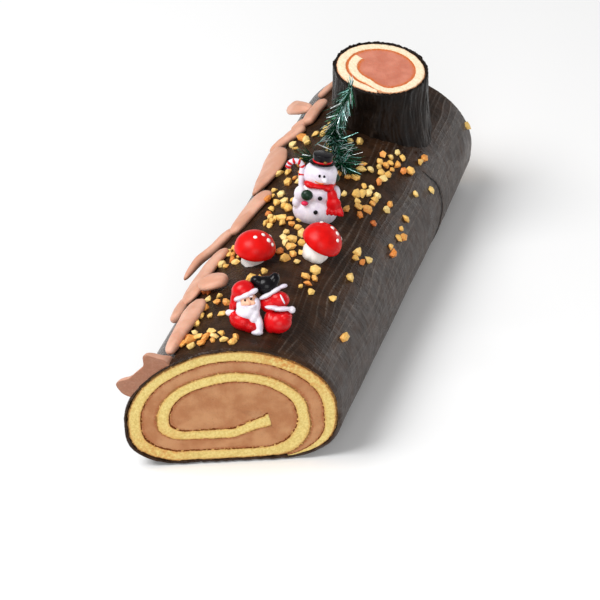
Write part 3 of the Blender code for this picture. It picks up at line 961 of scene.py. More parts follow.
@dataclass
class StumpBark:
    """The chocolate round the stump: upright grooves, a flaring foot and a ragged top rim."""

    roll: Roll
    stump: Stump
    thickness: float = 1.5 * MM
    rim_radius: float = 24 * MM     # spreads the rim's roughness
    columns: int = 300
    rows: tuple = (44, 3, 5, 2)     # outside upwards, top rim, inside, under the foot

    def foot_flare(self, angle: float) -> float:
        """How far the foot spreads at an angle round the stump."""
        right = hump((angle + 10 + 180) % 360 - 180, 45)
        return (0.9 + 2.4 * right) * MM

    def groove(self, angle: float, level: float) -> float:
        """The depth of the upright grooves."""
        turn = math.radians(angle + 5 * rough(Vector((angle / 50, level * 1.3, 0)), 1.0, 2) * 1.6)
        spread = Vector((math.cos(turn), math.sin(turn), level * 0.16))
        wide = rough(spread, 0.16, 3)
        fine = rough(spread, 0.06, 4)
        return (1.25 * wide - 1.2 * abs(fine) + 0.2) * MM * (1 - 0.45 * level)

    def build(self, finish: ChocolateFinish) -> None:
        """The bark, as one closed ring that stands on the coat.

        Args:
            finish: The chocolate's finish.
        """
        stump, roll = self.stump, self.roll

        def place(u: float, v: float) -> Vector:
            side, level, sunk = around(v, self.rows)
            angle = 360 * u
            spread = polar(angle) * self.rim_radius
            thick = self.thickness + 0.3 * MM * rough(spread, 3 * MM, 21)
            flare = self.foot_flare(angle) * (1 - level) ** 3.2
            outer = flare + self.groove(angle, level)
            flat = stump.point(angle, -outer * (1 - sunk) + thick * sunk)
            rag = 0.55 * MM * rough(spread, 2.2 * MM, 22) + 0.35 * MM * rough(spread, 0.9 * MM, 23)
            shards = 1.1 * MM * max(rough(spread, 1.5 * MM, 24) - 0.35, 0) * hump(angle - 185, 60)
            rim = stump.plane(flat.x, flat.y) + 0.1 * MM + rag + shards + (
                0.4 * MM * math.sin(math.pi * sunk) if side == 1 else 0)
            foot = roll.top_at(flat.x) - 0.9 * MM
            return Vector((flat.x, flat.y, mix(foot, rim, level)))

        # The raised folds are marked here; they take the pale line tone, which is painted highlight on
        # them.
        def lines(u: float, v: float) -> float:
            side, t, _ = around(v, self.rows)
            if side:
                return 0.0
            return 0.7 * smooth(self.groove(360 * u, t) / (0.5 * MM) - 0.45)

        body = loft(self.columns, sum(self.rows), place, {"grain": lines})
        adopt("stump_grooves", body, finish.material(), Slot.CHOCOLATE, ["stump_bark"])


# ---- piped strokes ------------------------------------------------------------------------------
class End(Enum):
    """How a piped stroke ends."""

    ROUND = 5.0
    POINTED = 2.0


@dataclass(frozen=True)
class Stroke:
    """A piped stroke: its route as (angle, y in mm, lift in mm), its widths, thickness and ends."""

    route: tuple
    widths: tuple
    thickness: float
    start: End = End.ROUND
    stop: End = End.ROUND
    crease: float = 0.12
    sunk: float = 0.5 * MM          # how far it sits in the coat

    def build(self, roll: Roll, number: int, material: bpy.types.Material) -> None:
        """Lays the stroke on the coat.

        Args:
            roll: The roll under it.
            number: Its place in the row, from 1.
            material: Its finish.
        """
        body = bmesh.new()
        bmesh.ops.create_uvsphere(body, u_segments=40, v_segments=48, radius=1.0)
        tip = body.verts.layers.float.new("tip")
        angles, places, lifts = (tuple(spot[i] for spot in self.route) for i in range(3))
        for vertex in body.verts:
            across, up, z = vertex.co
            end = self.start if z < 0 else self.stop
            round_end = math.sqrt(max(1 - abs(z) ** end.value, 0.0))
            if end is End.POINTED:
                round_end **= 1.25
            ring = math.hypot(across, up) or 1.0
            side, over = across / ring, up / ring if ring > 0.01 else 0.0
            t = (z + 1) / 2
            angle, y = along(angles, t), along(places, t) * MM
            lump = Vector((angle / 9, y / (9 * MM), number * 3.3))
            half = along(self.widths, t) * MM / 2 * round_end * (1 + 0.16 * noise.noise(
                lump + Vector((0, 0, side * 0.8))))
            ridge = 1 - self.crease * hump(side - 0.25 * noise.noise(lump * 0.7), 0.28)
            ridge += 0.07 * noise.noise(lump * 2.1 + Vector((0, 0, side * 1.4)))
            ridge += 0.06 * math.cos(7.5 * side + 2.5 * noise.noise(lump * 0.6))
            crown = 0.5 + 0.5 * over * round_end * (ridge if over > 0 else 1)
            rise = along(lifts, t) * MM - self.sunk + (self.thickness * MM + self.sunk) * crown
            reach = roll.reach(angle)
            run = (along(angles, t + 0.05) - along(angles, t - 0.05)) * reach
            rush = (along(places, t + 0.05) - along(places, t - 0.05)) * MM
            pace = math.hypot(run, rush)
            offset = side * half
            # painted shade: the stroke's lower side, against the coat, takes the darker tone; pointed ends
            # take it too
            vertex[tip] = 0.30 * smooth(-over * 1.4 - 0.1)
            if end is End.POINTED:
                vertex[tip] += 0.85 * smooth((abs(z) - 0.86) / 0.12)
            vertex.co = roll.spot(angle + offset * rush / pace / reach, y - offset * run / pace, rise)
        node = f"cream_stroke_{number:02d}"
        adopt(f"piped_stroke_{number:02d}", body, material, Slot.BUTTERCREAM, [node])


@dataclass
class PipedRow:
    """The strokes of buttercream along the left shoulder, front to back."""

    roll: Roll
    strokes: tuple = (
        Stroke(((131.5, -131, 0), (132, -110, 0), (131.5, -89, 0)), (6.0, 7.4, 10.2, 10.8), 5.2,
               crease=0.04),
        Stroke(((150, -94, 0), (152, -86, 0), (154, -76, 0)), (6.6, 8.6, 8.0), 4.6),
        Stroke(((147, -84, 0.2), (146, -66, 0.3), (143, -52, 0.2), (137, -42, 0)),
               (12.5, 12.5, 9.5, 7.0), 4.7, crease=0.2),
        Stroke(((137, -75, 1.8), (128, -76, 1.6), (118, -76, 0.4)), (9.0, 12.0, 8.0), 4.7, crease=-0.05),
        Stroke(((165, -52, 5.0), (161, -40, 4.0), (154, -31, 1.2), (144, -20, 0)),
               (4.0, 5.0, 6.8, 10.5), 4.5, start=End.POINTED),
        Stroke(((141, -26, 0), (137, -8, 0), (130, 7, 0)), (9.0, 12.0, 10.5), 4.6, crease=0.1),
        Stroke(((141, 7, 1.2), (141, 24, 0.2), (143, 42, 0.2), (152, 58, 1.0)),
               (5.0, 13.0, 16.5, 10.0), 5.0, start=End.POINTED, crease=0.22),
        Stroke(((158, 63, 1.2), (148, 66, 0.4), (139, 69, 0), (132, 72, 0)), (6.5, 8.5, 8.5, 6.5), 4.6),
        Stroke(((146, 76, 0), (139, 78, 0), (132, 79, 0)), (5.0, 6.4, 6.0), 3.9),
        Stroke(((131, 75, 0.2), (131, 86, 0.4), (128, 97, 0.2)), (7.4, 8.4, 7.6), 4.4),
        Stroke(((166, 113, 5.6), (158, 107, 4.0), (148, 99, 2.0), (137, 92, 0.6)),
               (5.2, 7.6, 7.6, 6.4), 4.4, start=End.POINTED),
        Stroke(((138, 107, 0), (134, 112, 0), (129, 121, 0)), (3.8, 4.4, 3.6), 3.1, stop=End.POINTED),
    )
    cut_from: float = 130.0
    cut_to: float = 162.0
    cut_depth: float = 5.5 * MM

    def cut_rise(self, angle: float) -> float:
        """How far the stroke at the cut stands off the coat: two knobs and a waist between them."""
        t = (angle - self.cut_from) / (self.cut_to - self.cut_from)
        ends = math.sqrt(max(1 - abs(2 * t - 1) ** 6, 0.0))
        return (1.4 + ends * (4.2 + 5.0 * hump(angle - 136.5, 3.0) + 3.6 * hump(angle - 157, 3.6))) * MM

    def build_cut_stroke(self, material: bpy.types.Material) -> None:
        """The knobbed stroke at the front edge, cut through together with the cake."""
        counts = (12, 10, 6, 4)

        def place(u: float, v: float) -> Vector:
            _, up, back = around(v, counts)
            angle = mix(self.cut_from, self.cut_to, u)
            spread = Vector((angle / 6, back * 1.3, 3.0))
            soft = 1 - 0.5 * back ** 3 + 0.05 * noise.noise(spread)
            here = self.roll.spot(angle, 0.0, mix(-0.5 * MM, self.cut_rise(angle) * soft, up))
            face = 0.08 * MM * rough(here, 2 * MM, 5)
            here.y = self.roll.front(here.x) - 0.35 * MM + face + self.cut_depth * back
            return here

        # painted shade: the cut face, the back and the bottom take more of the darker tone than the top
        def shaded(u: float, v: float) -> float:
            return (0.68, 0.15, 0.3, 0.3)[around(v, counts)[0]]

        body = loft(64, sum(counts), place, {"tip": shaded}, capped=True)
        adopt("piped_stroke_front", body, material, Slot.BUTTERCREAM, ["cream_stroke_front"])

    def build(self, finish: CreamFinish) -> None:
        """Lays the whole row."""
        material = finish.material()
        self.build_cut_stroke(material)
        for number, stroke in enumerate(self.strokes, start=1):
            stroke.build(self.roll, number, material)


# ---- decorations --------------------------------------------------------------------------------
@dataclass(frozen=True)
class Standing:
    """Where a decoration stands: its CAD node, its foot from that node's lowest corner, its lean."""

    node: str
    foot: tuple
    lean: float = 0.0
    roll: float = 0.0

    def matrix(self) -> Matrix:
        """The turn and place of the decoration's own frame: X right, Y away from the viewer."""
        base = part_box(self.node)[0] + Vector(self.foot) * MM
        return (Matrix.Translation(base) @ Matrix.Rotation(FACING, 4, "Z")
                @ Matrix.Rotation(math.radians(-self.lean), 4, "X")
                @ Matrix.Rotation(math.radians(self.roll), 4, "Y"))


@dataclass
class Moulded:
    """A decoration put together from moulded and painted parts in its own frame."""

    standing: Standing
    slot: Slot
    paints: dict = field(default_factory=dict)
    voxel: float = 0.42 * MM

    def paint(self, finish: PaintFinish) -> bpy.types.Material:
        """The material of a paint, made once."""
        if finish.name not in self.paints:
            self.paints[finish.name] = finish.material()
        return self.paints[finish.name]

    def part(self, name: str, body: bmesh.types.BMesh, finish: PaintFinish) -> None:
        """Stands a part in its place.

        Args:
            name: The part's name.
            body: Its mesh, in the decoration's own frame.
            finish: Its paint.
        """
        bmesh.ops.transform(body, matrix=self.standing.matrix(), verts=body.verts)
        node = self.standing.node
        adopt(f"{node}_{name}", body, self.paint(finish), self.slot, [node])

    def blob(self, name: str, finish: PaintFinish, *shapes: tuple, voxel: float = 0.0, rounds: int = 3,
             extra: Sequence[bmesh.types.BMesh] = ()) -> None:
        """One moulded part: a soft skin over overlapping lumps.

        Args:
            name: The part's name.
            finish: Its paint.
            shapes: Each lump's centre and radii, and its tilt if it has one.
            voxel: How fine the skin is, if not as fine as usual.
            rounds: How often it is softened.
            extra: More closed meshes under the skin.
        """
        lumps = [Lump(*shape) for shape in shapes]
        self.part(name, merged(lumps, voxel or self.voxel, rounds, extra), finish)

    def dabs(self, name: str, finish: PaintFinish, *shapes: tuple, segments: int = 16, rings: int = 10
             ) -> None:
        """A part made of separate small lumps.

        Args:
            name: The part's name.
            finish: Its paint.
            shapes: Each lump's centre and radii, and its tilt if it has one.
            segments: Faces round a lump.
            rings: Faces from its bottom to its top.
        """
        body = bmesh.new()
        for shape in shapes:
            Lump(*shape).add_to(body, segments, rings)
        self.part(name, body, finish)

    def drum(self, name: str, finish: PaintFinish, centre: Sequence[float], radii: Sequence[float],
             depth: float, edge: float = 0.0) -> None:
        """An upright round part with flat ends.

        Args:
            name: The part's name.
            finish: Its paint.
            centre: Its middle, in the figure's millimetres.
            radii: Its lower and its upper radius.
            depth: Its height.
            edge: How far its edges are rounded off, if at all.
        """
        body = bmesh.new()
        bmesh.ops.create_cone(body, cap_ends=True, segments=32, radius1=radii[0] * MM,
                              radius2=radii[1] * MM, depth=depth * MM,
                              matrix=Matrix.Translation(Vector(centre) * MM))
        if edge:
            soften(body, edge * MM, 2)
        self.part(name, body, finish)


WHITE = PaintFinish("white_paint", tone(234, 228, 236), tone(208, 198, 216), 0.3)
RED = PaintFinish("red_paint", tone(212, 8, 16), tone(184, 4, 14), 0.3)
BLACK = PaintFinish("black_paint", tone(10, 8, 12), tone(18, 15, 19), 0.24, gloss=0.2)
GREEN = PaintFinish("dark_green_paint", tone(24, 52, 34), tone(16, 36, 24), 0.35)
SKIN = PaintFinish("skin_paint", tone(244, 190, 158), tone(232, 168, 138), 0.35)
ORANGE = PaintFinish("orange_paint", tone(226, 118, 60), tone(206, 96, 48), 0.35)
PINK = PaintFinish("pink_paint", tone(224, 40, 84), tone(206, 28, 70), 0.3)
GOLD = PaintFinish("gold_paint", tone(150, 110, 60), tone(120, 84, 44), 0.35, metal=0.6)


@dataclass
class Mushroom:
    """A spotted toadstool: a domed cap on a short stem that widens at its foot."""

    number: int
    standing: Standing
    cap_radius: float = 9.8 * MM
    cap_height: float = 8.8 * MM
    stem_height: float = 6.6 * MM
    dot_radius: float = 1.15 * MM
    dots: tuple = ()                # degrees from the top, degrees round from the right side

    def spun(self, profile: Sequence[tuple[float, float]], steps: int) -> bmesh.types.BMesh:
        """A turned solid from a profile of (radius, height) points."""
        body = bmesh.new()
        spots = [body.verts.new((radius, 0.0, height)) for radius, height in profile]
        edges = [body.edges.new(pair) for pair in zip(spots, spots[1:])]
        bmesh.ops.spin(body, geom=spots + edges, cent=(0, 0, 0), axis=(0, 0, 1), angle=2 * math.pi,
                       steps=steps, use_merge=True)
        bmesh.ops.remove_doubles(body, verts=body.verts, dist=0.001 * MM)
        return body

    def dome(self, polar: float, azimuth: float) -> Vector:
        """A point on the cap, by degrees from its top and degrees round it from the viewer's right."""
        p, a = math.radians(polar), math.radians(azimuth)
        flat = self.cap_radius * math.sin(p)
        level = self.stem_height + self.cap_height * math.cos(p)
        return Vector((flat * math.cos(a), flat * math.sin(a), level))

    def build(self, red: PaintFinish, white: PaintFinish) -> None:
        """Builds the cap, its dots and the stem.

        Args:
            red: The cap's paint.
            white: The stem's and the dots' finish.
        """
        matrix = self.standing.matrix()
        radius, low = self.cap_radius, self.stem_height
        profile = [(radius * math.sin(math.radians(a)), low + self.cap_height * math.cos(math.radians(a)))
                   for a in range(0, 91, 5)]
        underside = ((0.985, 0.6), (0.93, 1.05), (0.8, 0.8), (0.55, 0.3))
        profile += [(radius * share, low - drop * MM) for share, drop in underside] + [(0.0, low)]
        cap = self.spun(profile, 56)
        for vertex in cap.verts:
            vertex.co += vertex.co.normalized() * 0.16 * MM * rough(vertex.co, 4 * MM, self.number)
        bmesh.ops.transform(cap, matrix=matrix, verts=cap.verts)
        name = f"mushroom_{self.number}"
        adopt(name + "_dome", cap, red.material(), Slot.CAP, [name + "_cap"])
        dots = bmesh.new()
        for number, (polar, azimuth) in enumerate(self.dots):
            spot = self.dome(polar, azimuth)
            out = Vector((spot.x, spot.y, (spot.z - low) * 1.1)).normalized()
            size = self.dot_radius * (0.86 + 0.1 * (number % 3))
            place = (Matrix.Translation(spot - out * 0.05 * MM) @ facing(out)
                     @ Matrix.Diagonal((size, size * 0.9, 0.5 * MM, 1)))
            bmesh.ops.create_uvsphere(dots, u_segments=14, v_segments=8, radius=1.0, matrix=matrix @ place)
        adopt(name + "_dots", dots, white.material(), Slot.STEM, [name + "_cap"])
        top = low - 0.1 * MM
        foot = [(0.0, top), (4.2 * MM, top), (4.7 * MM, top - 0.6 * MM), (4.9 * MM, top - 2.2 * MM),
                (5.4 * MM, 2.0 * MM), (6.0 * MM, 0.6 * MM), (6.1 * MM, -0.6 * MM), (5.6 * MM, -3 * MM),
                (0.0, -3 * MM)]
        stem = self.spun(foot, 40)
        for vertex in stem.verts:
            lower = smooth((3 * MM - vertex.co.z) / (3 * MM))
            out = Vector((vertex.co.x, vertex.co.y, 0))
            vertex.co += out * (0.05 + 0.12 * lower) * rough(vertex.co, 3 * MM, self.number + 4)
        bmesh.ops.transform(stem, matrix=matrix, verts=stem.verts)
        adopt(name + "_foot", stem, white.material(), Slot.STEM, [name + "_stem"])


@dataclass
class Snowman(Moulded):
    """A snowman with a top hat, a scarf with a tail, and a striped cane."""

    hook_centre: tuple = (-12.0, 25.4)
    hook_radii: tuple = (3.4, 3.0)
    cane_radius: float = 1.35

    def build(self) -> None:
        """Builds the snowman's parts."""
        self.blob("body", WHITE, ((-0.2, 0, 4.6), (11.0, 8.2, 8.4)), ((0.4, 0, 14.2), (9.2, 7.0, 6.2)),
                  ((0.4, 0, 23.0), (7.4, 6.8, 6.2)), ((-3.0, 0, 22.8), (4.9, 5.9, 5.9)),
                  ((3.8, 0, 22.8), (4.9, 5.9, 5.9)), ((-8.4, -3.2, 13.4), (3.0, 3.0, 4.0)),
                  ((8.4, -1.4, 14.0), (2.6, 3.0, 4.4)), ((2.6, -6.9, 22.2), (1.3, 1.3, 1.2)),
                  ((-9.6, -3.0, 9.0), (2.2, 2.6, 3.0)))
        self.build_hat()
        self.blob("scarf", RED, ((0.4, -0.3, 18.7), (7.8, 7.4, 2.1)),
                  ((-4.0, -3.9, 18.9), (3.4, 3.4, 1.9), 10), ((4.6, -4.2, 18.2), (3.0, 3.2, 2.1), -14),
                  rounds=4)
        self.build_tail()
        self.build_cane()
        self.dabs("mitten", GREEN, ((-5.2, -6.3, 14.0), (2.9, 2.2, 2.7), 8))
        self.dabs("cuff", PINK, ((-5.9, -7.0, 10.0), (1.7, 1.3, 1.2)))
        self.dabs("eyes", BLACK, ((-0.3, -6.6, 24.4), (0.62, 0.4, 0.8)),
                  ((1.9, -6.4, 24.2), (0.62, 0.4, 0.8)))
        self.dabs("buttons", BLACK, ((1.1, -7.0, 13.2), (1.1, 0.6, 1.1)),
                  ((-0.3, -8.2, 6.4), (1.1, 0.6, 1.1)))
        self.dabs("ear_bead", GREEN, ((8.2, -1.6, 22.4), (1.5, 1.5, 1.9)))
        smile = [Vector((x, -6.25 + 0.045 * x * x, 20.5 + 0.10 * (x - 1.0) ** 2)) * MM
                 for x in (-2.2, -0.8, 0.9, 2.6, 4.0)]
        self.part("smile", bar(smile, [0.3 * MM, 0.4 * MM, 0.3 * MM], 8, 14), ORANGE)

    def build_hat(self) -> None:
        """The top hat with its band and stud."""
        self.blob("hat_brim", BLACK, ((0.5, 0, 29.0), (6.4, 5.9, 0.9)), rounds=1)
        self.drum("hat_crown", BLACK, (0.6, 0, 31.3), (4.5, 4.9), 4.4, 0.45)
        self.drum("hat_band", RED, (0.6, 0, 29.9), (4.75, 4.8), 1.0)
        self.dabs("hat_stud", GOLD, ((1.8, -4.8, 30.6), (0.9, 0.4, 0.7)))

    def build_tail(self) -> None:
        """The scarf's hanging tail, which ends in a fringe."""
        fringe = [bar([Vector((x * 0.55 + 4.2, -6.0, 10.0)) * MM, Vector((x, -7.0, 7.0)) * MM,
                       Vector((x * 1.06, -7.2, 5.0)) * MM], [0.9 * MM, 1.0 * MM, 0.5 * MM], 8, 8)
                  for x in (5.4, 7.2, 9.0, 10.8, 12.2)]
        self.blob("scarf_tail", RED, ((6.8, -5.4, 14.4), (2.6, 1.9, 4.2), -16),
                  ((8.0, -6.2, 10.6), (3.6, 1.5, 4.0), -14), rounds=2, extra=fringe)

    def build_cane(self) -> None:
        """The cane: a white bar with red rings wound round it."""
        (x, z), (wide, tall) = self.hook_centre, self.hook_radii
        hook = [(x + wide * math.cos(math.radians(a)), 0.0, z + tall * math.sin(math.radians(a)))
                for a in range(0, 211, 35)]
        stick = [(-7.0, -4.6, 10.0), (-7.8, -3.2, 14.0), (-8.4, -1.6, 18.0), (-8.7, -0.6, 22.0)]
        route = [Vector(point) * MM for point in stick + hook]
        self.part("cane", bar(route, [self.cane_radius * MM] * 2, 16, 60), WHITE)
        rings = bmesh.new()
        for t in (0.14, 0.30, 0.44, 0.58, 0.70, 0.81, 0.92):
            place = (Matrix.Translation(curve_at(route, t)) @ facing(curve_step(route, t - 0.02, t + 0.02))
                     @ Matrix.Rotation(math.radians(24), 4, "X"))
            girth = (self.cane_radius + 0.12) * MM
            bmesh.ops.create_cone(rings, cap_ends=True, segments=18, radius1=girth, radius2=girth,
                                  depth=1.25 * MM, matrix=place)
        soften(rings, 0.15 * MM)
        self.part("cane_rings", rings, RED)


@dataclass
class BeardedFigure(Moulded):
    """A half-lying figure in a fur-trimmed coat and cap, with a calm, plain face."""

    voxel: float = 0.36 * MM

    def build(self) -> None:
        """Builds the figure's parts, from its cap to its sack."""
        self.build_head()
        self.build_clothes()
        self.blob("sack", BLACK, ((2.6, 3.4, 21.4), (5.2, 4.2, 4.6)),
                  ((-1.6, 3.2, 23.6), (3.4, 3.2, 2.6), 10), ((6.0, 3.2, 24.2), (2.6, 3.0, 3.4), 18))

    def build_head(self) -> None:
        """The cap, the face and the beard."""
        self.blob("cap", RED, ((-8.0, 1.0, 19.4), (5.4, 4.8, 4.6), -20),
                  ((-11.6, 1.0, 15.4), (2.2, 2.6, 4.6), 8))
        self.blob("cap_trim", WHITE, ((-9.8, -1.2, 16.0), (2.6, 3.4, 1.3), -22),
                  ((-6.6, -2.2, 17.4), (3.4, 3.2, 1.3), -24), ((-3.4, -1.8, 19.0), (2.6, 3.0, 1.3), -28))
        self.blob("cap_tail", RED, ((-12.8, 1.0, 12.4), (1.5, 2.0, 3.2), 6))
        self.blob("pompom", WHITE, ((-14.2, 0.4, 9.4), (1.8, 1.8, 1.6)),
                  ((-12.8, 0.2, 10.0), (1.2, 1.4, 1.0)))
        self.blob("face", SKIN, ((-5.9, 0.3, 14.6), (4.6, 4.6, 4.2)),
                  ((-5.4, -4.4, 13.8), (0.95, 0.9, 0.85)), ((-7.4, -3.6, 13.2), (1.5, 1.1, 1.1)),
                  ((-3.5, -3.4, 13.9), (1.4, 1.1, 1.1)))
        self.blob("beard", WHITE, ((-6.4, -1.8, 10.0), (4.9, 3.8, 3.8)),
                  ((-9.4, -0.8, 12.6), (1.7, 3.2, 3.2)), ((-2.2, -1.0, 12.8), (2.2, 3.0, 3.6)),
                  ((-3.0, -2.0, 8.2), (2.6, 2.8, 3.8), 16), ((-6.9, -4.4, 11.9), (2.0, 1.2, 0.9), 16),
                  ((-3.9, -4.3, 12.2), (2.0, 1.2, 0.9), -16), ((-0.8, -1.6, 4.6), (1.9, 2.6, 4.6), -8),
                  ((-1.6, -1.8, 0.6), (2.8, 2.6, 1.4)))
        self.dabs("eyes", BLACK, ((-7.0, -4.15, 15.2), (0.5, 0.3, 0.55)),
                  ((-4.3, -4.15, 15.8), (0.5, 0.3, 0.55)), segments=12, rings=8)
        self.blob("brows", WHITE, ((-7.1, -4.2, 16.4), (1.1, 0.5, 0.35), -14),
                  ((-4.3, -4.2, 16.9), (1.1, 0.5, 0.35), -14), voxel=0.2 * MM, rounds=1)

    def build_clothes(self) -> None:
        """The coat's sleeve and skirts, the trousers and their white trims."""
        self.blob("sleeve", RED, ((-8.4, 0.2, 5.8), (5.8, 5.0, 4.4), 14),
                  ((-4.6, 0.4, 3.6), (4.2, 4.6, 3.4)), ((-12.2, 1.2, 8.2), (2.4, 3.2, 2.6)))
        self.blob("coat", RED, ((8.2, 1.0, 15.4), (4.8, 4.2, 3.8), 10),
                  ((4.0, 2.0, 13.6), (4.6, 4.0, 4.4)))
        self.blob("trousers", RED, ((8.2, 0.6, 5.0), (5.8, 4.8, 5.0), -10),
                  ((4.4, 1.4, 5.4), (3.2, 4.0, 5.4)), ((10.6, 0.6, 7.4), (3.6, 4.2, 3.0), -12))
        self.blob("hem", WHITE, ((5.2, -1.2, 11.8), (3.6, 3.2, 1.1), 4),
                  ((9.6, -1.6, 11.2), (4.4, 3.4, 1.2), -2), ((14.0, -1.0, 10.8), (1.7, 2.4, 1.7), 20))
        self.blob("collar", WHITE, ((2.4, -0.4, 17.0), (3.6, 2.8, 1.1), -24),
                  ((6.6, -0.2, 19.4), (3.6, 2.8, 1.1), -32), ((10.2, 0.0, 21.4), (2.0, 2.2, 1.0), -14))
        self.blob("strap", WHITE, ((9.8, -2.4, 15.6), (0.5, 1.9, 2.6), -26), rounds=1)


# ---- small toppings -----------------------------------------------------------------------------
@dataclass(frozen=True)
class Patch:
    """A patch of nuts: its middle as (angle, y in mm), its half spans and how many nuts lie there."""

    angle: float
    y: float
    span_angle: float
    span_y: float
    count: int
    lift: float = 0.0


@dataclass
class ChoppedNuts:
    """Chopped roasted nuts of true size, thick along the piped row and sparse to the right."""

    roll: Roll
    patches: tuple
    seed: int = 11
    shapes: int = 14
    size: tuple = (1.45 * MM, 2.9 * MM)
    usual_size: float = 1.9 * MM
    spacing: float = 3.7 * MM
    tries: int = 12

    def shape(self, dice: random.Random) -> bmesh.types.BMesh:
        """One broken nut: a lump of a few dozen flat faces with softened edges.

        Args:
            dice: Where the chances come from.

        Returns:
            Its mesh, about one unit in radius.
        """
        body = bmesh.new()
        bmesh.ops.create_icosphere(body, subdivisions=1, radius=1.0)
        long, flat = dice.uniform(0.95, 1.5), dice.uniform(0.62, 0.95)
        for vertex in body.verts:
            vertex.co *= dice.triangular(0.5, 1.35, 1.0)
        soften(body, 0.05)
        bmesh.ops.scale(body, vec=(long, 1.0, flat), verts=body.verts)
        return body

    def build(self, finish: MarkedFinish) -> None:
        """Scatters the nuts and joins them in one piece."""
        dice = random.Random(self.seed)
        meshes = []
        for _ in range(self.shapes):
            mesh = bpy.data.meshes.new("nut")
            shape = self.shape(dice)
            shape.to_mesh(mesh)
            shape.free()
            meshes.append(mesh)
        body = bmesh.new()
        mark = body.verts.layers.float.new("mark")
        laid: list[Vector] = []
        for patch in self.patches:
            for _ in range(patch.count):
                spot, angle = self.find(patch, laid, dice)
                laid.append(spot)
                size = dice.triangular(*self.size, self.usual_size)
                out = self.roll.outward(angle)
                tumble = (Matrix.Rotation(dice.uniform(0, 6.28), 4, "Z")
                          @ Matrix.Rotation(dice.gauss(0, 0.35), 4, "X"))
                place = (Matrix.Translation(spot + out * size * 0.42) @ facing(out) @ tumble
                         @ Matrix.Diagonal((size, size, size, 1)))
                roast = min(max(dice.gauss(0.34, 0.28), 0.0), 1.0)
                before = len(body.verts)
                body.from_mesh(dice.choice(meshes))
                body.verts.ensure_lookup_table()
                for vertex in body.verts[before:]:
                    # painted shade: each nut's underside is pushed towards the darker roast tones
                    under = smooth(0.35 - 0.6 * vertex.co.z)
                    vertex[mark] = roast + 0.28 * under
                    vertex.co = place @ vertex.co
        adopt("chopped_nuts", body, finish.material(), shade=False)

    def find(self, patch: Patch, laid: Sequence[Vector], dice: random.Random) -> tuple[Vector, float]:
        """A free spot in a patch.

        Args:
            patch: The patch.
            laid: Where nuts already lie.
            dice: Where the chances come from.

        Returns:
            The spot and its angle round the roll.
        """
        best, best_gap = (Vector(), 0.0), -1.0
        for _ in range(self.tries):
            angle = patch.angle + patch.span_angle * dice.uniform(-1, 1)
            y = (patch.y + patch.span_y * dice.uniform(-1, 1)) * MM
            spot = self.roll.spot(angle, y, patch.lift * MM)
            gap = min([(spot - other).length for other in laid] or [1.0])
            if gap > self.spacing:
                return spot, angle
            if gap > best_gap:
                best, best_gap = (spot, angle), gap
        return best


@dataclass
class Crumbs:
    """Fine crumbs of chocolate round the stump's foot and along the top."""

    roll: Roll
    stump: Stump
    seed: int = 5
    at_stump: int = 70
    on_top: int = 60

    def join(self, spots: Iterable[tuple[Vector, float]], finish: ChocolateFinish) -> None:
        """Joins small broken grains at some spots.

        Args:
            spots: Where each grain lies, and its radius.
            finish: The grains' finish.
        """
        dice = random.Random(self.seed)
        body = bmesh.new()
        body.verts.layers.float.new("grain")
        for spot, size in spots:
            turn = Matrix.Rotation(dice.uniform(0, 6.28), 4, Vector((dice.random(), dice.random(), 1)))
            shape = Matrix.Diagonal((size * dice.uniform(0.8, 1.5), size, size * 0.7, 1))
            place = Matrix.Translation(spot) @ turn @ shape
            bmesh.ops.create_icosphere(body, subdivisions=1, radius=1.0, matrix=place)
        adopt("chocolate_crumbs", body, finish.material(), Slot.CHOCOLATE, shade=False)

    def build(self, chocolate: ChocolateFinish) -> None:
        """Scatters the dark crumbs round the stump's foot and along the top."""
        dice = random.Random(self.seed + 1)
        spots = []
        for _ in range(self.at_stump):
            turn = math.radians(dice.uniform(215, 335))
            away = self.stump.radius + (3.6 + abs(dice.gauss(0, 4.0))) * MM
            x = self.stump.centre.x + away * math.cos(turn)
            y = self.stump.centre.y + away * math.sin(turn)
            if abs(x) < self.roll.half_width * 0.85:
                spots.append((Vector((x, y, self.roll.top_at(x) + 0.2 * MM)), dice.uniform(0.25, 0.7) * MM))
        for _ in range(self.on_top):
            angle, y = dice.uniform(70, 118), dice.uniform(-118, 60) * MM
            spots.append((self.roll.spot(angle, y, 0.2 * MM), dice.uniform(0.2, 0.45) * MM))
        self.join(spots, chocolate)


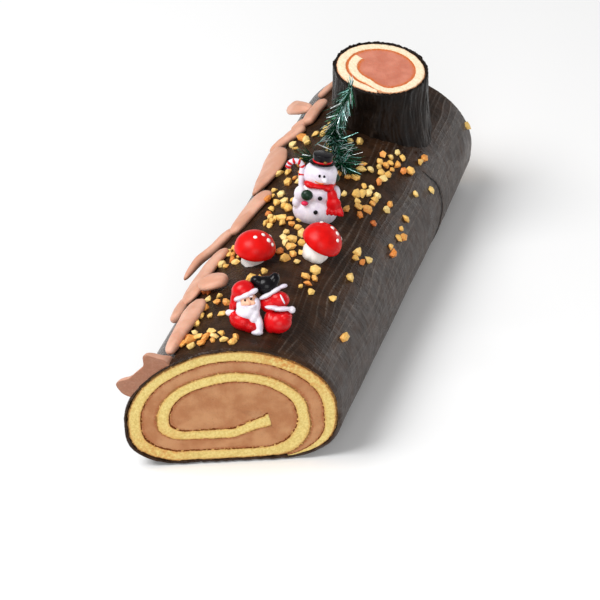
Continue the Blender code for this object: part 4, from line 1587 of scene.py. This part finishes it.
@dataclass
class TinselSprig:
    """A bundle of foil needles that leans on the stump, and a short branch of it behind the snowman."""

    seed: int = 23
    needles: int = 560
    spine: tuple = ((4.0, 27.0, 68.0), (-3.0, 40.0, 69.8), (-7.4, 50.0, 73.8), (-6.0, 57.0, 82.0),
                    (-2.4, 61.8, 93.6))
    start: tuple = (14.6, 0.0, 2.8)     # the spine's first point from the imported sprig's lowest corner
    lie: float = 68.0 * MM              # the height of needles that lie on the cake
    lowest: float = 66.3 * MM           # needles that would reach below it are laid flatter
    branch_needles: int = 34
    behind: float = 32.0 * MM           # how far behind the hat the short branch lies

    def needle(self, body: bmesh.types.BMesh, mark: object, root: Vector, way: Vector, long: float,
               glint: float) -> None:
        """Adds one flat needle: a thin tapering strip of foil.

        Args:
            body: The mesh it joins.
            mark: The layer that holds its tone.
            root: Where it starts.
            way: Where it points.
            long: Its length.
            glint: Its tone, 0 for dark green foil to 1 for silver-white, a painted reflection.
        """
        turn = facing(way) @ Matrix.Rotation(glint * 40, 4, "Z")
        place = Matrix.Translation(root) @ turn
        made = bmesh.ops.create_cube(body, size=1.0)["verts"]
        for vertex in made:
            tip = vertex.co.z > 0
            wide = (0.16 if tip else 0.80) * MM
            bend = 0.10 * long * vertex.co.z
            vertex.co = place @ Vector((vertex.co.x * wide, vertex.co.y * 0.10 * MM + (bend if tip else 0),
                                        (vertex.co.z + 0.5) * long))
            vertex[mark] = glint

    def build(self, finish: MarkedFinish) -> None:
        """Sets the needles along the spine and joins them in one piece."""
        dice = random.Random(self.seed)
        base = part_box("tinsel_sprig")[0] + Vector(self.start) * MM
        spine = [base + (Vector(p) - Vector(self.spine[0])) * MM for p in self.spine]
        body = bar(spine, [0.5 * MM] * 2, 6, 24)
        mark = body.verts.layers.float.new("mark")
        for number in range(self.needles):
            t = (number + 0.5) / self.needles
            here = curve_at(spine, t)
            down = curve_step(spine, t + 0.02, t - 0.05).normalized()
            side = Vector([dice.gauss(0, 1) for _ in range(3)]).normalized()
            splay = mix(0.9, 0.5, t) + 0.25 * dice.random()
            up = t > 0.93 and number % 3 == 0
            way = (side * 0.3 + Vector((0, 0, 1)) if up else down + side * splay).normalized()
            long = dice.uniform(8.0, 14.0) * MM * (0.45 if up else mix(1.0, 0.75, t))
            # painted glint: how far the needle's colour goes towards silver-white, standing for light
            # reflected by the foil
            glint = dice.random() ** 1.6
            tip = here + way * long
            if tip.z < self.lowest:
                way.z = abs(way.z) * 0.25
            self.needle(body, mark, here, way.normalized(), long, glint)
        low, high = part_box("snowman")
        middle = Vector((low.x + 8.2 * MM - self.behind * math.sin(FACING),
                         high.y + 1.5 * MM + self.behind * math.cos(FACING), self.lie))
        for _ in range(self.branch_needles):
            a, b, c = (dice.gauss(0, 1) for _ in range(3))
            way = Vector((-1.0 + 0.5 * a, 0.4 * b, 0.1 + 0.28 * c)).normalized()
            root = middle + Vector([dice.gauss(0, 1.3) * MM for _ in range(3)])
            self.needle(body, mark, root, way, dice.uniform(3.5, 6.5) * MM, dice.random() ** 3)
        adopt("foil_needles", body, finish.material(), Slot.TINSEL, ["tinsel_sprig"], shade=False)


# ---- stage --------------------------------------------------------------------------------------
@dataclass
class Studio:
    """The pale floor, the soft lights and the camera."""

    target: Vector = Vector((-9.3 * MM, 3.6 * MM, 0.0))
    distance: float = 1220.3 * MM
    elevation: float = math.radians(35.84)
    lens: float = 145.23
    sensor: float = 36.0
    ambient: float = 0.34
    floor_size: float = 6.0
    lights: tuple = (("key", (-0.75, -0.55, 1.45), 0.9, 27.0), ("front_fill", (0.5, -1.5, 0.8), 0.9, 9.0),
                     ("right_sheen", (1.0, 1.15, 0.25), 0.7, 4.5))

    def build_floor(self) -> None:
        """A wide, plain, pale floor."""
        body = bmesh.new()
        bmesh.ops.create_grid(body, x_segments=1, y_segments=1, size=self.floor_size)
        mesh = bpy.data.meshes.new("floor")
        body.to_mesh(mesh)
        body.free()
        graph = Graph("floor_paper", 0.9, Specular_IOR_Level=0.1)
        graph.shader.inputs["Base Color"].default_value = (0.90, 0.90, 0.90, 1)
        mesh.materials.append(graph.material)
        floor = bpy.data.objects.new("floor", mesh)
        floor.location.z = -0.3 * MM
        bpy.context.scene.collection.objects.link(floor)

    def build_light(self, name: str, place: Sequence[float], size: float, power: float) -> None:
        """A square soft light that faces the cake.

        Args:
            name: Its name.
            place: Where it hangs.
            size: Its side.
            power: Its power in watts.
        """
        lamp = bpy.data.lights.new(name, "AREA")
        lamp.shape = "SQUARE"
        lamp.size = size
        lamp.energy = power
        holder = bpy.data.objects.new(name, lamp)
        holder.location = place
        holder.rotation_euler = (-Vector(place)).to_track_quat("-Z", "Y").to_euler()
        bpy.context.scene.collection.objects.link(holder)

    def build(self) -> None:
        """Sets the stage."""
        self.build_floor()
        world = bpy.data.worlds.new("studio")
        world.use_nodes = True
        sky = world.node_tree.nodes["Background"]
        sky.inputs[0].default_value = (1.0, 1.0, 1.0, 1.0)
        sky.inputs[1].default_value = self.ambient
        bpy.context.scene.world = world
        for light in self.lights:
            self.build_light(*light)
        camera = bpy.data.cameras.new("camera")
        camera.lens = self.lens
        camera.sensor_width = self.sensor
        holder = bpy.data.objects.new("camera", camera)
        flat = math.cos(self.elevation)
        away = Vector((flat * math.sin(FACING), -flat * math.cos(FACING), math.sin(self.elevation)))
        holder.location = self.target + away * self.distance
        holder.rotation_euler = (math.pi / 2 - self.elevation, 0.0, FACING)
        bpy.context.scene.collection.objects.link(holder)
        bpy.context.scene.camera = holder
        bpy.context.scene.view_settings.view_transform = "Standard"


# ---- the cake -----------------------------------------------------------------------------------
NUT_PATCHES = tuple(Patch(*row) for row in (
    (118, -121, 13, 6, 12), (98, -120, 9, 3, 5), (117, -104, 9, 4, 4), (125, -90, 8, 5, 4),
    (108, -92, 5, 3, 1), (133, -80, 4, 3, 2), (100, -69, 6, 4, 3), (129, -50, 7, 8, 11),
    (104, -53, 5, 4, 2), (87, -48, 9, 8, 7), (66, -58, 5, 4, 3), (90, -36, 9, 6, 5), (64, -69, 8, 5, 3),
    (45, -64, 3, 2, 1), (28, -82, 2, 2, 1), (45, -47, 2, 2, 1), (98, -23, 9, 7, 7), (112, -22, 6, 5, 5),
    (41, -27, 5, 3, 4), (113, -9, 9, 6, 7), (124, -3, 2, 3, 1, 1.5), (27, -5, 4, 3, 2), (60, 3, 7, 4, 4),
    (44, 1, 2, 2, 1), (122, 6, 7, 4, 3), (67, 12, 8, 4, 3), (25, 11, 3, 4, 3), (116, 19, 7, 5, 6),
    (56, 18, 8, 6, 7), (44, 18, 3, 4, 2), (76, 26, 8, 4, 4), (24, 23, 3, 3, 1), (124, 31, 8, 5, 4),
    (62, 37, 10, 6, 8), (28, 42, 2, 3, 1), (57, 50, 8, 5, 7), (41, 54, 5, 4, 2), (128, 56, 10, 6, 6),
    (86, 57, 5, 3, 2), (48, 61, 6, 2, 2), (114, 65, 4, 5, 3), (70, 69, 4, 2, 1), (36, 71, 2, 4, 2),
    (20, 59, 3, 3, 1), (17, 129, 1, 1, 1), (104, 44, 6, 6, 2),
))


def build_insides(roll: Roll, stump: Stump) -> None:
    """Builds the rolled sheets of the log and of the stump, each with its cream."""
    log = RolledSheet(
        "log", Spiral(-47, 1, 737, 1.8 * MM, 6.0 * MM, 11.7 * MM, 350, 60, 677, (-6.4, 5.9), (1.4, 7.2)),
        roll.point, roll.seat, core=Vector((0.0, 31 * MM)), steps=900, rows=13, proud=0.30 * MM,
        ragged=0.42 * MM, toasted=(((-31, 9), 12, 0.7), ((22, 57), 13, 0.8), ((38, 44), 9, 0.5)), begin=0)
    log.build_sponge(SpongeFinish("log_crumb", tone(236, 213, 138), tone(218, 190, 112),
                                  tone(104, 50, 18), tone(206, 130, 62), skin_from=0.78, dashes=0.8))
    log.build_cream(CreamFinish("milk_chocolate_cream", tone(194, 141, 98), tone(174, 116, 75),
                                tone(158, 84, 40), pores=0.6, roughness=0.7))
    top = RolledSheet(
        "stump", Spiral(-79, -1, 484, STUMP_ICING, 5.0 * MM, 5.8 * MM, 338, 48, 440, (0, 0), (0, 0)),
        stump.point, stump.seat, core=Vector((stump.centre.x + 2 * MM, stump.centre.y)), steps=420,
        rows=11, proud=0.25 * MM, ragged=0.30 * MM, toasted=(), begin=2, overlap=0.6 * MM, lip=0.5 * MM,
        fringe=1.0, fringe_width=1.1 * MM)
    top.build_sponge(SpongeFinish("stump_crumb", tone(254, 238, 208), tone(246, 220, 184),
                                  tone(206, 118, 56), tone(230, 160, 110), 0.86, 0.3, halo=0.25))
    top.build_cream(CreamFinish("stump_cream_rose", tone(214, 136, 112), tone(196, 116, 92),
                                tone(206, 104, 40), pores=0.5, roughness=0.7))


def build_decorations() -> None:
    """Builds the two toadstools and the two figures."""
    red = PaintFinish("toadstool_red", tone(222, 12, 8), tone(198, 6, 6), 0.36, gloss=0.2)
    sugar = PaintFinish("white_sugar", tone(248, 244, 240), tone(236, 228, 224), 0.5)
    Mushroom(1, Standing("mushroom_1_cap", (9.2, 9.6, -4.7), roll=5), dots=(
        (16, -99), (20, 3), (40, -18), (58, -16), (62, 38))).build(red, sugar)
    Mushroom(2, Standing("mushroom_2_cap", (6.0, 8.8, -0.8), roll=27), dots=(
        (36, 129), (10, 39), (26, -9), (42, -39), (64, 20), (60, 80))).build(red, sugar)
    Snowman(Standing("snowman", (15.1, 7.6, 0.4), 12, 6), Slot.SNOWMAN).build()
    BeardedFigure(Standing("bearded_figure", (17.2, 3.5, 1.2), 33), Slot.FIGURE).build()


def build_toppings(roll: Roll, stump: Stump, chocolate: ChocolateFinish) -> None:
    """Scatters the nuts and the crumbs, and lays the sprig."""
    # roast tones from pale to dark; each nut's underside is moved along them as painted shade
    roasted = ((-0.1, tone(246, 222, 152)), (0.35, tone(240, 194, 104)), (0.8, tone(222, 136, 58)),
               (1.15, tone(170, 80, 32)))
    ChoppedNuts(roll, NUT_PATCHES).build(MarkedFinish("roasted_nuts_painted_shade", roasted, 0.5))
    Crumbs(roll, stump).build(chocolate)
    # dark and mid green foil, then pale cyan and silver-white painted glints of reflected light
    foil = ((0.0, tone(5, 48, 26)), (0.45, tone(16, 86, 52)), (0.72, tone(140, 196, 190)),
            (0.9, tone(246, 252, 254)))
    TinselSprig().build(MarkedFinish("green_foil", foil, 0.25, 0.45))


def main() -> None:
    """Builds the cake's pieces in order, then the stage."""
    logging.basicConfig(level=logging.INFO, format="%(name)s: %(message)s")
    roll = Roll.from_frame()
    stump = Stump.from_frame(STUMP_ICING)
    build_insides(roll, stump)
    chocolate = ChocolateFinish("dark_chocolate")
    ChocolateCoat(roll).build(chocolate)
    # The bark's pale line tone is painted highlight on its raised folds, and it takes the same painted
    # sheen, weaker, where it reaches the right.
    StumpBark(roll, stump).build(ChocolateFinish("bark_chocolate", tone(17, 11, 8), tone(30, 20, 14),
                                                 tone(70, 60, 53), shine=0.13, painted_sheen_strength=0.25))
    # the third tone is painted shade on the strokes' lower sides and cut face
    PipedRow(roll).build(CreamFinish("piped_buttercream", tone(220, 170, 146), tone(205, 150, 124),
                                     tone(132, 80, 52), pores=0.0, roughness=0.5, ragged=0.15))
    build_decorations()
    build_toppings(roll, stump, chocolate)
    Studio().build()


if __name__ == "__main__":
    main()
